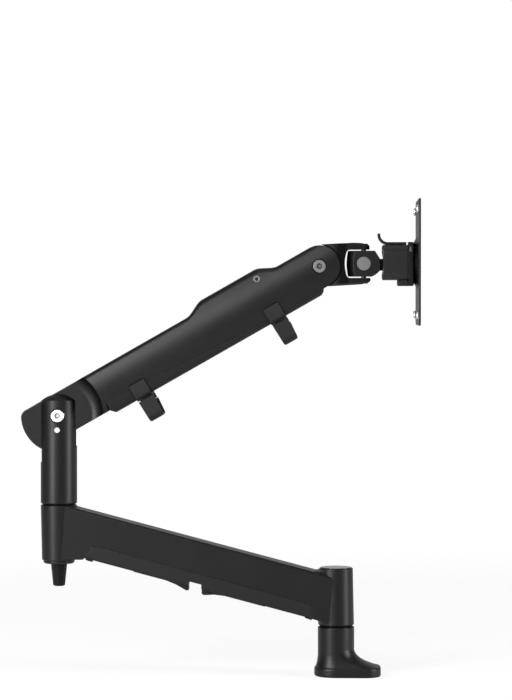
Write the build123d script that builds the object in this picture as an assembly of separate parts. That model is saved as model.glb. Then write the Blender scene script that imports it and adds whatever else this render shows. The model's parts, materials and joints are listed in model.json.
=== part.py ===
from build123d import *
import math
import os

os.makedirs("parts", exist_ok=True)

# Frame: X runs along the arm, Y across it, Z up. The origin is on the base
# post's axis, at the underside of the foot. All sizes are in millimetres.

# ---- Clearances
RUN = 0.05  # radial gap of a shaft that turns in its bush
SLIP = 0.3  # gap between parts that pass each other
SEAM = 0.25  # gap along the seams between covers and castings
BEYOND = 40.0  # reach of a cut that runs right out of its piece

# ---- Base
FOOT_RADIUS = 21.0
FOOT_REACH = 43.0
FOOT_CORNER = 15.0
RIM_HEIGHT = 9.5
RIM_TOP_EDGE = 2.6
RIM_LOW_EDGE = 1.8
FAIRING_TOP = 27.0
POST_RADIUS = 17.5
POST_TOP = 47.4
PAD_THICKNESS = 1.2
PAD_MARGIN = 2.5
THREAD_RADIUS = 4.25
THREAD_DEPTH = 20.0
SPINDLE_RADIUS = 8.0
SPINDLE_SEAT = 24.0
WASHER_THICKNESS = 1.0
WASHER_RADIUS = 15.0
BUSH_WALL = 2.5
BUSH_LENGTH = 18.0
CAP_THICKNESS = 1.4
CAP_POCKET = 6.5

# ---- Lower arm
ARM_SPAN = 267.0  # base axis to elbow axis
BASE_HUB_HEIGHT = 55.6
BASE_HUB_LOW_RADIUS = 17.3
BASE_HUB_TOP_RADIUS = 16.1
ELBOW_HUB_HEIGHT = 53.5
ELBOW_HUB_LOW_RADIUS = 16.4
ELBOW_HUB_TOP_RADIUS = 17.5
ELBOW_HUB_TOP = 164.0
BEAM_SLOPE = 0.2635
BEAM_TOP_AT_BASE = 95.6  # height of the beam's top line on the base axis
BEAM_DEPTH = 45.6
BEAM_WIDTH = 32.0
BEAM_WALL = 3.0
BEAM_EDGE = 2.5
FLARE_REACH = 5.4  # run of the blends between the hubs and the beam
FLARE_ROOT = 8.0
COVER_HEIGHT = 14.0
COVER_WALL = 2.2
COVER_LEFT = -240.0
COVER_RIGHT = -23.2
COVER_FOOT_LENGTH = 7.6
COVER_FOOT_DROP = 1.5
CABLE_GAP_LEFT = -141.6
CABLE_GAP_WIDTH = 12.6
CABLE_GAP_HEIGHT = 4.6
LIP_WIDTH = 17.0
LIP_THICKNESS = 1.2
LIP_LENGTH_OUTER = 54.0
LIP_LENGTH_INNER = 62.0
LIP_DROP = 5.6
LIP_BLEND = 22.0  # the curl has run out into the flat strip this far from the gap

# ---- Elbow post
FORK_SLOT = 14.0  # width of the slot between the two cheeks
PIVOT_HEIGHT = 250.0
FORK_EDGE_RISE = 14.5  # pivot to the edge of the fork's domed end
FORK_EDGE_HEIGHT = PIVOT_HEIGHT + FORK_EDGE_RISE
DOME_RISE = 7.0
DOME_SKIRT = 12.0
SPINDLE_TOP_DEPTH = 60.0  # spindle's top below the pivot
ELBOW_SPINDLE_TOP = PIVOT_HEIGHT - SPINDLE_TOP_DEPTH
COLLAR_THICKNESS = 3.0
COLLAR_RADIUS = 15.0
KNOB_HEIGHT = 22.0
KNOB_TOP_RADIUS = 7.9
KNOB_LOW_RADIUS = 5.7
KNOB_FACETS = 8
KNOB_EDGE = 1.8
SPINDLE_TIP = 12.0
SPINDLE_TIP_RADIUS = 3.0

ELBOW_X = -ARM_SPAN


def upright(radius, low, high, x=0.0, y=0.0):
    """A round bar that stands on the vertical axis at x, y."""
    return Pos(x, y, (low + high) / 2) * Cylinder(radius, high - low)


def crosswise(radius, low, high, x=0.0, z=0.0):
    """A round bar along Y, through x, z."""
    return Pos(x, (low + high) / 2, z) * Rot(90, 0, 0) * Cylinder(radius, high - low)


def lengthwise(radius, low, high, y=0.0, z=0.0):
    """A round bar along X, through y, z."""
    return Pos((low + high) / 2, y, z) * Rot(0, 90, 0) * Cylinder(radius, high - low)


def upright_cone(low_radius, high_radius, low, high):
    """A drafted round boss on the vertical axis."""
    return Pos(0, 0, (low + high) / 2) * Cone(low_radius, high_radius, high - low)


def side_prism(outline, low, high):
    """An outline in the XZ plane, given thickness from y = low to y = high."""
    return Pos(0, high, 0) * extrude(Plane.XZ * outline, high - low)


def block(x_low, x_high, y_low, y_high, z_low, z_high):
    """A rectangular bar between six planes."""
    size = (x_high - x_low, y_high - y_low, z_high - z_low)
    centre = Pos((x_low + x_high) / 2, (y_low + y_high) / 2, (z_low + z_high) / 2)
    return centre * Box(*size)


def polygon(*points):
    """A flat face with straight edges, rounded later where it needs it."""
    return make_face(Polyline(*points, close=True))


def rounded(outline, radius, *spots):
    """Round the corners of an outline that lie nearest to the given spots."""
    corners = [min(outline.vertices(), key=lambda v: math.dist((v.X, v.Y), spot)) for spot in spots]
    return fillet(corners, radius)


def write(name, shape):
    """Write one piece, or a group of like pieces, as a STEP file."""
    solids = shape.solids()
    export_step(solids[0] if len(solids) == 1 else Compound(children=solids), f"parts/{name}.step")


# ---- Base foot: a round post that flares into a foot with a toe


def toe_outline(radius, reach, corner):
    """Half a circle behind, straight sides and a rounded toe in front."""
    bevel = corner * (1 - math.sqrt(0.5))
    edges = [
        ThreePointArc((0, radius), (-radius, 0), (0, -radius)),
        Line((0, -radius), (reach - corner, -radius)),
        ThreePointArc((reach - corner, -radius), (reach - bevel, bevel - radius), (reach, corner - radius)),
        Line((reach, corner - radius), (reach, radius - corner)),
        ThreePointArc((reach, radius - corner), (reach - bevel, radius - bevel), (reach - corner, radius)),
        Line((reach - corner, radius), (0, radius)),
    ]
    return make_face(edges)


def foot():
    rim = extrude(toe_outline(FOOT_RADIUS, FOOT_REACH, FOOT_CORNER), RIM_HEIGHT)
    rim = fillet(rim.edges().group_by(Axis.Z)[-1], RIM_TOP_EDGE)
    rim = fillet(rim.edges().group_by(Axis.Z)[0], RIM_LOW_EDGE)
    flare = FAIRING_TOP - RIM_HEIGHT
    spare = FOOT_REACH - POST_RADIUS
    margin = FOOT_RADIUS - POST_RADIUS
    stations = []
    for share in (0.0, 0.2, 0.5, 1.0):
        left = (1 - share) ** 2.4
        radius = POST_RADIUS - 0.2 + (margin - 1.2) * left
        reach = POST_RADIUS - 0.2 + (spare - 1.2) * left
        corner = min(radius - 0.2, FOOT_CORNER + (POST_RADIUS - FOOT_CORNER) * share)
        height = RIM_HEIGHT - 0.5 + (flare + 0.5) * share
        stations.append(Pos(0, 0, height) * toe_outline(radius, reach, corner))
    fairing = loft(stations)
    post = upright(POST_RADIUS, 1.0, POST_TOP)
    post = chamfer(post.edges().group_by(Axis.Z)[-1], 0.8)
    body = rim + fairing + post
    recess = extrude(toe_outline(FOOT_RADIUS - PAD_MARGIN, FOOT_REACH - PAD_MARGIN, FOOT_CORNER - PAD_MARGIN),
                     PAD_THICKNESS)
    recess -= upright(THREAD_RADIUS + 6.0, 0, PAD_THICKNESS)
    body -= recess
    body -= upright(THREAD_RADIUS, 0, THREAD_DEPTH)
    body -= upright(SPINDLE_RADIUS, SPINDLE_SEAT, POST_TOP)
    pad = extrude(toe_outline(FOOT_RADIUS - PAD_MARGIN - SLIP, FOOT_REACH - PAD_MARGIN - SLIP,
                              FOOT_CORNER - PAD_MARGIN - SLIP), PAD_THICKNESS)
    pad -= upright(THREAD_RADIUS + 6.0 + SLIP, 0, PAD_THICKNESS)
    return body, pad


BASE_HUB_LOW = POST_TOP + WASHER_THICKNESS
BASE_HUB_TOP = BASE_HUB_LOW + BASE_HUB_HEIGHT
BASE_POCKET_FLOOR = BASE_HUB_TOP - CAP_THICKNESS - CAP_POCKET
BUSH_RADIUS = SPINDLE_RADIUS + RUN + BUSH_WALL
ELBOW_HUB_LOW = ELBOW_HUB_TOP - ELBOW_HUB_HEIGHT
ELBOW_POST_LOW = ELBOW_HUB_TOP + WASHER_THICKNESS
COLLAR_LOW = ELBOW_HUB_LOW - COLLAR_THICKNESS
KNOB_LOW = COLLAR_LOW - KNOB_HEIGHT


def washer(low, x=0.0):
    return upright(WASHER_RADIUS, low, low + WASHER_THICKNESS, x) - upright(
        SPINDLE_RADIUS + RUN, low, low + WASHER_THICKNESS, x
    )


def bush(low, high, x=0.0):
    return upright(BUSH_RADIUS, low, high, x) - upright(SPINDLE_RADIUS + RUN, low, high, x)


def beam_top(x):
    return BEAM_TOP_AT_BASE - BEAM_SLOPE * x


def beam_bottom(x):
    return beam_top(x) - BEAM_DEPTH


def seam(x):
    return beam_bottom(x) + COVER_HEIGHT


def cover_outline(grow):
    """Side view of the channel cover, enlarged all round by grow."""
    low = COVER_LEFT - grow
    high = COVER_RIGHT + grow
    outline = polygon(
        (low, beam_bottom(low) - 3 * grow),
        (low + 3.2, seam(low) + grow),
        (high - 0.8, seam(high) + grow),
        (high, beam_bottom(high) - 3 * grow),
    )
    outline = rounded(outline, 10.0, (low + 3.2, seam(low)))
    return rounded(outline, 7.0, (high - 0.8, seam(high)))


def flare(x, radius, level, beam_line, way, half):
    """The concave blend where a hub's rim runs out into the beam's top or bottom line.

    way is the side of the hub's axis on which the beam lies."""
    run = radius + FLARE_REACH
    height = beam_line(x + way * run) - level
    mid = math.sqrt(0.5)
    curve = ThreePointArc(
        (radius - 0.1, level),
        (radius + FLARE_REACH * (1 - mid), level + height * mid),
        (run, level + height),
    )
    depth = level + height + math.copysign(FLARE_ROOT, height)
    core = radius - 3
    rest = Polyline((run, level + height), (run, depth), (core, depth), (core, level), (radius - 0.1, level))
    ring = revolve(Plane.XZ * make_face([curve, rest]), Axis.Z)
    low, high = sorted((level, depth))
    left, right = sorted((0, way * (run + 1)))
    return Pos(x, 0, 0) * (ring & block(left, right, -half, half, low, high))


def lower_arm():
    half = BEAM_WIDTH / 2
    ends = (ELBOW_X, 0.0)
    outline = polygon(
        (ends[0], ELBOW_HUB_LOW + 1.6),
        (ends[0], beam_top(ends[0])),
        (ends[1], beam_top(ends[1])),
        (ends[1], beam_bottom(ends[1])),
        (COVER_LEFT - 1.0, beam_bottom(COVER_LEFT - 1.0)),
        (COVER_LEFT - 3.0, ELBOW_HUB_LOW + 1.6),
    )
    beam = side_prism(outline, -half, half)
    top_edges = [e for e in beam.edges().filter_by(GeomType.LINE) if e.length > ARM_SPAN * 0.8]
    top_edges = [e for e in top_edges if e.center().Z > beam_top(e.center().X) - 1]
    beam = fillet(top_edges, BEAM_EDGE)
    inner = half - BEAM_WALL
    low = COVER_LEFT - 1.5
    high = COVER_RIGHT + 1.5
    channel = side_prism(
        polygon(
            (low, beam_bottom(low) - 9),
            (low, beam_top(low) - BEAM_WALL - 6),
            (low + 8, beam_top(low + 8) - BEAM_WALL),
            (high, beam_top(high) - BEAM_WALL),
            (high, beam_bottom(high) - 9),
        ),
        -inner,
        inner,
    )
    elbow_hub = upright_cone(ELBOW_HUB_LOW_RADIUS, ELBOW_HUB_TOP_RADIUS, ELBOW_HUB_LOW, ELBOW_HUB_TOP)
    elbow_hub = Pos(ELBOW_X, 0, 0) * elbow_hub
    base_hub = upright_cone(BASE_HUB_LOW_RADIUS, BASE_HUB_TOP_RADIUS, BASE_HUB_LOW, BASE_HUB_TOP)
    elbow_hub = chamfer(elbow_hub.edges().filter_by(GeomType.CIRCLE), 0.8)
    base_hub = chamfer(base_hub.edges().filter_by(GeomType.CIRCLE).sort_by(Axis.Z)[-1], 0.8)
    base_hub = chamfer(base_hub.edges().filter_by(GeomType.CIRCLE).sort_by(Axis.Z)[0], 1.3)
    casting = beam + elbow_hub + base_hub
    crown = half - BEAM_EDGE
    casting += flare(0.0, BASE_HUB_TOP_RADIUS, BASE_HUB_TOP - 0.9, beam_top, -1, crown)
    casting += flare(0.0, BASE_HUB_LOW_RADIUS, BASE_HUB_LOW + 1.4, beam_bottom, -1, half)
    casting += flare(ELBOW_X, ELBOW_HUB_TOP_RADIUS, ELBOW_HUB_TOP - 0.9, beam_top, 1, crown)
    casting -= channel
    casting -= side_prism(cover_outline(SEAM), -half - 1, half + 1)
    over = ELBOW_HUB_TOP + BEYOND
    casting -= block(ELBOW_X - BEYOND, ELBOW_X + BEYOND, -BEYOND, BEYOND, ELBOW_HUB_TOP, over)
    casting -= upright(BUSH_RADIUS, ELBOW_HUB_LOW, ELBOW_HUB_TOP, ELBOW_X)
    casting -= upright(BUSH_RADIUS, BASE_HUB_LOW, BASE_HUB_TOP)
    casting -= upright(BASE_HUB_TOP_RADIUS - 3.4, BASE_POCKET_FLOOR, BASE_HUB_TOP)
    casting -= upright(BASE_HUB_TOP_RADIUS - 1.0, BASE_HUB_TOP - CAP_THICKNESS, BASE_HUB_TOP)
    return casting


def cover():
    half = BEAM_WIDTH / 2
    shell = side_prism(cover_outline(0.0), -half, half)
    shell = fillet(shell.edges().filter_by(Axis((0, 0, 0), (1, 0, -BEAM_SLOPE))).group_by(Axis.Z)[0], 2.0)
    low = COVER_LEFT + COVER_WALL
    high = COVER_RIGHT - COVER_WALL
    hollow = polygon(
        (low, beam_bottom(low) + COVER_WALL),
        (low, seam(low) + 9),
        (high, seam(high) + 9),
        (high, beam_bottom(high) + COVER_WALL),
    )
    shell -= side_prism(hollow, COVER_WALL - half, half - COVER_WALL)
    for end, way in ((COVER_LEFT, 1), (COVER_RIGHT, -1)):
        far = end + way * COVER_FOOT_LENGTH
        foot_outline = polygon(
            (end, beam_bottom(end) + 0.5),
            (end, beam_bottom(end) - COVER_FOOT_DROP),
            (far - way * 1.6, beam_bottom(far) - COVER_FOOT_DROP),
            (far, beam_bottom(far) + 0.5),
        )
        shell += side_prism(foot_outline, 2.0 - half, half - 2.0)
    right = CABLE_GAP_LEFT + CABLE_GAP_WIDTH
    notch = polygon(
        (CABLE_GAP_LEFT, beam_bottom(CABLE_GAP_LEFT) - 8),
        (CABLE_GAP_LEFT, beam_bottom(CABLE_GAP_LEFT) + CABLE_GAP_HEIGHT),
        (right, beam_bottom(right) + CABLE_GAP_HEIGHT),
        (right, beam_bottom(right) - 8),
    )
    return shell - side_prism(notch, -half - 1, half + 1)


def lip(edge, way, length):
    """A strip under the cover that curls down beside the cable gap.

    way is -1 for the strip on the elbow's side of the gap, and +1 for the other."""
    far = edge + way * length

    def under(x, drop):
        return (x, beam_bottom(x) - drop)

    outline = polygon(
        under(edge, 0),
        under(edge, LIP_DROP - 0.6),
        under(edge + way * 2.4, LIP_DROP),
        under(edge + way * 12, LIP_THICKNESS + 1.4),
        under(edge + way * LIP_BLEND, LIP_THICKNESS),
        under(far - way * 1.5, LIP_THICKNESS),
        under(far, 0),
    )
    return side_prism(outline, -LIP_WIDTH / 2, LIP_WIDTH / 2)


# ---- Elbow: forked post, its spindle, collar and knob

SLOT_LEFT_DEPTH = 46.0  # slot's floor below the pivot, at each side of the post
SLOT_RIGHT_DEPTH = 28.0
SLOT_LEFT_FLOOR = PIVOT_HEIGHT - SLOT_LEFT_DEPTH
SLOT_RIGHT_FLOOR = PIVOT_HEIGHT - SLOT_RIGHT_DEPTH
PIVOT_RADIUS = 5.0
PIVOT_HEAD_RADIUS = 6.5
PIVOT_HEAD_SEAT = 14.6
LINK_DROP = 13.6  # distance of the levelling link's pins below the pivots
LINK_PIN_RADIUS = 2.7


def elbow_post():
    """A round post whose top is a fork with a domed end."""
    top = PIVOT_HEIGHT + BEYOND
    post = upright(POST_RADIUS, ELBOW_POST_LOW, top, ELBOW_X)
    post = chamfer(post.edges().group_by(Axis.Z)[0], (1.0))
    dome_radius = (POST_RADIUS**2 + DOME_RISE**2) / (2 * DOME_RISE)
    dome_top = FORK_EDGE_HEIGHT + DOME_RISE
    post &= Pos(ELBOW_X, 0, dome_top - dome_radius) * Sphere(dome_radius) + upright(
        POST_RADIUS + 1, ELBOW_POST_LOW - 1, FORK_EDGE_HEIGHT - DOME_SKIRT, ELBOW_X
    )
    slot = polygon(
        (ELBOW_X - POST_RADIUS - 1, SLOT_LEFT_FLOOR),
        (ELBOW_X - POST_RADIUS * 0.4, PIVOT_HEIGHT - TAIL_RADIUS - 2.5),
        (ELBOW_X + POST_RADIUS * 0.5, PIVOT_HEIGHT - TAIL_RADIUS - 1.0),
        (ELBOW_X + POST_RADIUS + 1, SLOT_RIGHT_FLOOR),
        (ELBOW_X + POST_RADIUS + 1, top + 1),
        (ELBOW_X - POST_RADIUS - 1, top + 1),
    )
    post -= side_prism(slot, -FORK_SLOT / 2, FORK_SLOT / 2)
    post -= upright(SPINDLE_RADIUS, ELBOW_POST_LOW, ELBOW_SPINDLE_TOP, ELBOW_X)
    post -= crosswise(PIVOT_RADIUS, -POST_RADIUS, POST_RADIUS, ELBOW_X, PIVOT_HEIGHT)
    for side in (-1, 1):
        low, high = sorted((side * PIVOT_HEAD_SEAT, side * (POST_RADIUS + 1)))
        post -= crosswise(PIVOT_HEAD_RADIUS + 0.4, low, high, ELBOW_X, PIVOT_HEIGHT)
    post -= crosswise(LINK_PIN_RADIUS, -POST_RADIUS, POST_RADIUS, ELBOW_X, PIVOT_HEIGHT - LINK_DROP)
    return post


def friction_knob():
    """A tapered knob with flats, threaded on the spindle's lower end."""
    low = Pos(ELBOW_X, 0, KNOB_LOW) * RegularPolygon(KNOB_LOW_RADIUS, KNOB_FACETS)
    high = Pos(ELBOW_X, 0, COLLAR_LOW) * RegularPolygon(KNOB_TOP_RADIUS, KNOB_FACETS)
    knob = loft([low, high])
    knob = fillet(knob.edges().group_by(Axis.Z)[0], KNOB_EDGE)
    return knob - upright(SPINDLE_TIP_RADIUS + RUN, COLLAR_LOW - SPINDLE_TIP, COLLAR_LOW, ELBOW_X)



def elbow_spindle():
    shaft = upright(SPINDLE_RADIUS, COLLAR_LOW + 1.0, ELBOW_SPINDLE_TOP, ELBOW_X)
    return shaft + upright(SPINDLE_TIP_RADIUS, COLLAR_LOW - SPINDLE_TIP, COLLAR_LOW + 2.0, ELBOW_X)


def thrust_collar():
    collar = upright(COLLAR_RADIUS, COLLAR_LOW, ELBOW_HUB_LOW, ELBOW_X)
    collar = chamfer(collar.edges().group_by(Axis.Z)[0], 1.2)
    collar -= upright(SPINDLE_TIP_RADIUS, COLLAR_LOW, ELBOW_HUB_LOW, ELBOW_X)
    return collar - upright(SPINDLE_RADIUS, COLLAR_LOW + 1.0, ELBOW_HUB_LOW, ELBOW_X)


def cross_bolt(x, z, head_face, nut_face, depth, recess=2.2):
    """A pivot bolt along Y: socket head on the near side, nut on the far side."""
    bolt = crosswise(PIVOT_RADIUS, -head_face + 0.5, nut_face - 0.5, x, z)
    head = crosswise(PIVOT_HEAD_RADIUS, -head_face, -head_face + depth, x, z)
    head = chamfer(head.edges().group_by(Axis.Y)[0], 0.6)
    socket = Pos(x, -head_face, z) * Rot(90, 0, 0) * extrude(RegularPolygon(2.9, 6), -recess)
    nut = crosswise(PIVOT_HEAD_RADIUS, nut_face - depth, nut_face, x, z)
    nut = chamfer(nut.edges().group_by(Axis.Y)[-1], 0.6)
    return bolt + head - socket, nut - crosswise(PIVOT_RADIUS, nut_face - depth, nut_face - 0.5, x, z)


# ---- Upper arm, drawn level with its elbow pivot at the origin, then lifted

UPPER_LENGTH = 289.0  # elbow pivot to head pivot
UPPER_ANGLE = 29.7
LIFT_DOWN = 49.7
LIFT_UP = 5.3
BODY_TOP = 20.1
BODY_LOW = 20.3
BODY_HALF_WIDTH = 21.0
FLANK_RADIUS = 60.0
BODY_CORNER = 6.0
BODY_WALL = 3.0
TAIL_RADIUS = 36.0
TAIL_CORNER = 8.0
TAIL_WALL = 2.2
SCOOP_INNER = 32.6
SCOOP_OUTER = 45.0
SCOOP_BRIM = 0.6  # the cut runs out above the flank's crest
HEAD_END_RADIUS = 20.0
BUMP_BACK = 38.0  # bump's end to the head pivot
BUMP_END = UPPER_LENGTH - BUMP_BACK
BUMP_LENGTH = 94.0
BUMP_START = BUMP_END - BUMP_LENGTH
BUMP_RISE = 8.0
BUMP_RAMP = 15.0
BUMP_ROUND = 9.0
BUMP_SWELL = 22.0  # length of the smooth ramp at each end of the bump
BUMP_LEAD = 3.5  # the ramps start this far outside the straight slopes
FORK_HALF = 13.0  # half the room between the housing's cheeks at the head end
UNDER_START = 47.0
UNDER_BACK = 7.0  # cover's end to the head pivot
UNDER_END = UPPER_LENGTH - UNDER_BACK
UNDER_DEPTH = 25.0
UNDER_NOSE = 7.0
UNDER_NOSE_RAKE = 3.5
UNDER_RISE_AT_START = 11.2
UNDER_SEAM_BACK = 66.0  # bend of the seam to the head pivot
UNDER_SEAM_END = UPPER_LENGTH - UNDER_SEAM_BACK
UNDER_WALL = 2.2
TONGUE_WALL = 1.1
TONGUE_HEIGHT = 2.4

CAVITY_START = SCOOP_OUTER + 5.0
TENSION_BOLT_BACK = 58.0  # tension bolt to head pivot
TENSION_BOLT_U = UPPER_LENGTH - TENSION_BOLT_BACK
TENSION_BOLT_V = 19.0
TENSION_BOLT_RADIUS = 3.4
TAIL_BUSH_WALL = 1.4
HEAD_BOLT_SEAT = BODY_HALF_WIDTH - 2.6
TAIL_HALF = FORK_SLOT / 2 - SLIP
TAIL_ROOM = TAIL_HALF - TAIL_WALL
HEAD_X = ELBOW_X + UPPER_LENGTH * math.cos(math.radians(UPPER_ANGLE))
HEAD_Z = PIVOT_HEIGHT + UPPER_LENGTH * math.sin(math.radians(UPPER_ANGLE))


def lifted(shape):
    """Take a piece from the level drawing to its place on the lifted arm."""
    return Pos(ELBOW_X, 0, PIVOT_HEIGHT) * Rot(0, -UPPER_ANGLE, 0) * shape


def arm_section(inset, low, high, corner):
    """Section across the arm: bulging flanks, flat top and bottom."""
    radius = FLANK_RADIUS - inset
    half = BODY_HALF_WIDTH - inset

    def flank(z):
        return half - radius + math.sqrt(radius**2 - z**2)

    middle = (low + high) / 2
    edges = [
        ThreePointArc((flank(low), low), (flank(middle), middle), (flank(high), high)),
        Line((flank(high), high), (-flank(high), high)),
        ThreePointArc((-flank(high), high), (-flank(middle), middle), (-flank(low), low)),
        Line((-flank(low), low), (flank(low), low)),
    ]
    face = make_face(edges)
    if corner > 0:
        high_corners = [v for v in face.vertices() if v.Y > middle]
        face = fillet(high_corners, corner)
    return face


def along_arm(section, start, end):
    """A section in the YZ plane, given length along the arm."""
    return Pos(start, 0, 0) * extrude(Plane.YZ * section, end - start)


def tail_outline(inset):
    radius = TAIL_RADIUS - inset
    top = BODY_TOP - inset
    low = -BODY_LOW + inset
    disc = Circle(radius) & Pos(0, (top + low) / 2) * Rectangle(4 * radius, top - low)
    corner = (-math.sqrt(radius**2 - top**2), top)
    return rounded(disc, max(TAIL_CORNER - inset, 1.0), corner)


def body_outline():
    """Side view of the housing, above its top line too: round head end, open below."""
    high = BODY_TOP + BUMP_RISE + 1
    body = polygon(
        (0, high),
        (UPPER_LENGTH - HEAD_END_RADIUS, high),
        (UPPER_LENGTH - HEAD_END_RADIUS, BODY_TOP),
        (UPPER_LENGTH, BODY_TOP),
        (UPPER_LENGTH, -BODY_LOW),
        (UNDER_SEAM_END, -BODY_LOW),
        (UNDER_START, -UNDER_RISE_AT_START),
        (UNDER_START - 2, -BODY_LOW),
        (0, -BODY_LOW),
    )
    return body + Pos(UPPER_LENGTH, 0) * Circle(HEAD_END_RADIUS)


def bump_outline(inset):
    low = BODY_TOP - 8
    high = BODY_TOP + BUMP_RISE - inset
    left = BUMP_START + inset * 0.5
    right = BUMP_END - inset * 0.5
    outline = polygon(
        (left, low),
        (left, BODY_TOP - inset),
        (left + BUMP_RAMP, high),
        (right - BUMP_RAMP, high),
        (right, BODY_TOP - inset),
        (right, low),
    )
    return rounded(outline, BUMP_ROUND, (left + BUMP_RAMP, high), (right - BUMP_RAMP, high))


def swell(way, foot):
    """One smooth ramp of the bump: up from u = foot (way 1), or down to it (way -1)."""
    sections = []
    for share in (0.0, 0.08, 0.25, 0.5, 0.75, 0.92, 1.0):
        rise = share**2 * (3 - 2 * share)
        section = arm_section(0, -BODY_LOW - 10, BODY_TOP + BUMP_RISE * rise, BODY_CORNER + 2 * rise)
        sections.append(Pos(foot + way * BUMP_SWELL * share, 0, 0) * (Plane.YZ * section))
    if way < 0:
        sections.reverse()
    return loft(sections)


def arm_hull():
    """The housing's outer form before its ends and underside are cut."""
    section = arm_section(0, -BODY_LOW - 10, BODY_TOP, BODY_CORNER)
    bump_section = arm_section(0, -BODY_LOW - 10, BODY_TOP + BUMP_RISE, BODY_CORNER + 2)
    left = BUMP_START - BUMP_LEAD
    right = BUMP_END + BUMP_LEAD
    hull = along_arm(section, -5, left) + swell(1, left)
    hull += along_arm(bump_section, left + BUMP_SWELL, right - BUMP_SWELL)
    return hull + swell(-1, right) + along_arm(section, right, UPPER_LENGTH + HEAD_END_RADIUS + 5)


def scoop():
    """The waist beside each cheek of the elbow fork, turned about the pivot."""
    mid = math.sqrt(0.5)
    span = SCOOP_OUTER - SCOOP_INNER
    brim = BODY_HALF_WIDTH + SCOOP_BRIM
    rise = brim - TAIL_HALF
    edges = [
        Line((0, TAIL_HALF), (SCOOP_INNER, TAIL_HALF)),
        ThreePointArc(
            (SCOOP_INNER, TAIL_HALF),
            (SCOOP_INNER + span * mid, brim - rise * mid),
            (SCOOP_OUTER, brim),
        ),
        Line((SCOOP_OUTER, brim), (SCOOP_OUTER, brim + 5)),
        Line((SCOOP_OUTER, brim + 5), (0, brim + 5)),
        Line((0, brim + 5), (0, TAIL_HALF)),
    ]
    cutter = revolve(make_face(edges), Axis.Y)
    return cutter + mirror(cutter, Plane.XZ)


def link_slot(margin):
    """The arc that the link pin sweeps in the tail's walls."""
    start = -90 - UPPER_ANGLE - LIFT_UP - margin
    sweep = LIFT_UP + LIFT_DOWN + 2 * margin
    outer = LINK_DROP + LINK_PIN_RADIUS + 0.4
    inner = LINK_DROP - LINK_PIN_RADIUS - 0.4
    ring = crosswise(outer, -BEYOND, BEYOND) - crosswise(inner, -BEYOND, BEYOND)
    first = math.radians(start)
    last = math.radians(start + sweep)
    middle = (first + last) / 2
    far = 3 * outer
    wedge = polygon(
        (0, 0),
        (far * math.cos(first), far * math.sin(first)),
        (far * 1.6 * math.cos(middle), far * 1.6 * math.sin(middle)),
        (far * math.cos(last), far * math.sin(last)),
    )
    return ring & side_prism(wedge, -BEYOND, BEYOND)


def upper_housing():
    body = side_prism(body_outline(), -BEYOND, BEYOND) & arm_hull()
    tail = side_prism(tail_outline(0), -TAIL_HALF, TAIL_HALF)
    tail = fillet(tail.edges().filter_by(lambda e: e.center().X < 0).filter_by(Plane.XZ), 0.8)
    shell = body - scoop() + tail
    inner = arm_section(BODY_WALL, -BODY_LOW - 10, BODY_TOP - BODY_WALL, BODY_CORNER - 2)
    inner_bump = arm_section(BODY_WALL, -BODY_LOW - 10, BODY_TOP + BUMP_RISE - BODY_WALL, BODY_CORNER)
    room_end = UPPER_LENGTH - HEAD_END_RADIUS - 4
    shell -= along_arm(inner, CAVITY_START, room_end)
    bump_room = side_prism(bump_outline(BODY_WALL), -BEYOND, BEYOND)
    shell -= bump_room & along_arm(inner_bump, BUMP_START, BUMP_END)
    shell -= crosswise(HEAD_END_RADIUS + 0.5, -FORK_HALF, FORK_HALF, UPPER_LENGTH, 0)
    shell -= block(room_end - 5, UPPER_LENGTH, -FORK_HALF, FORK_HALF, -BODY_LOW - 1, BODY_TOP - BODY_WALL)
    pocket = side_prism(tail_outline(TAIL_WALL + 1.0), -TAIL_ROOM, TAIL_ROOM)
    pocket += block(-14, CAVITY_START + 1, -TAIL_ROOM, TAIL_ROOM, -BODY_LOW - 1, 13)
    shell -= pocket
    shell -= link_slot(math.degrees((LINK_PIN_RADIUS + 0.5) / LINK_DROP))
    shell -= crosswise(PIVOT_RADIUS + RUN + TAIL_BUSH_WALL, -TAIL_HALF, TAIL_HALF)
    shell -= crosswise(PIVOT_RADIUS, -BODY_HALF_WIDTH - 1, BODY_HALF_WIDTH + 1, UPPER_LENGTH, 0)
    shell -= crosswise(TENSION_BOLT_RADIUS, -BODY_HALF_WIDTH, BODY_HALF_WIDTH, TENSION_BOLT_U, TENSION_BOLT_V)
    for side in (-1, 1):
        low, high = sorted((side * HEAD_BOLT_SEAT, side * (BODY_HALF_WIDTH + 1)))
        shell -= crosswise(PIVOT_HEAD_RADIUS + 0.4, low, high, UPPER_LENGTH, 0)
    return shell


def under_outline(inset):
    low = -UNDER_DEPTH + inset
    outline = polygon(
        (UNDER_START + SEAM + inset, -UNDER_RISE_AT_START - SEAM),
        (UNDER_SEAM_END, -BODY_LOW - SEAM),
        (UNDER_END - inset, -BODY_LOW - SEAM),
        (UNDER_END - UNDER_NOSE_RAKE - inset, low),
        (UNDER_START + 4 + inset, low),
        (UNDER_START + SEAM + inset, low + 4),
    )
    return rounded(outline, UNDER_NOSE, (UNDER_END - UNDER_NOSE_RAKE - inset, low))


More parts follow.
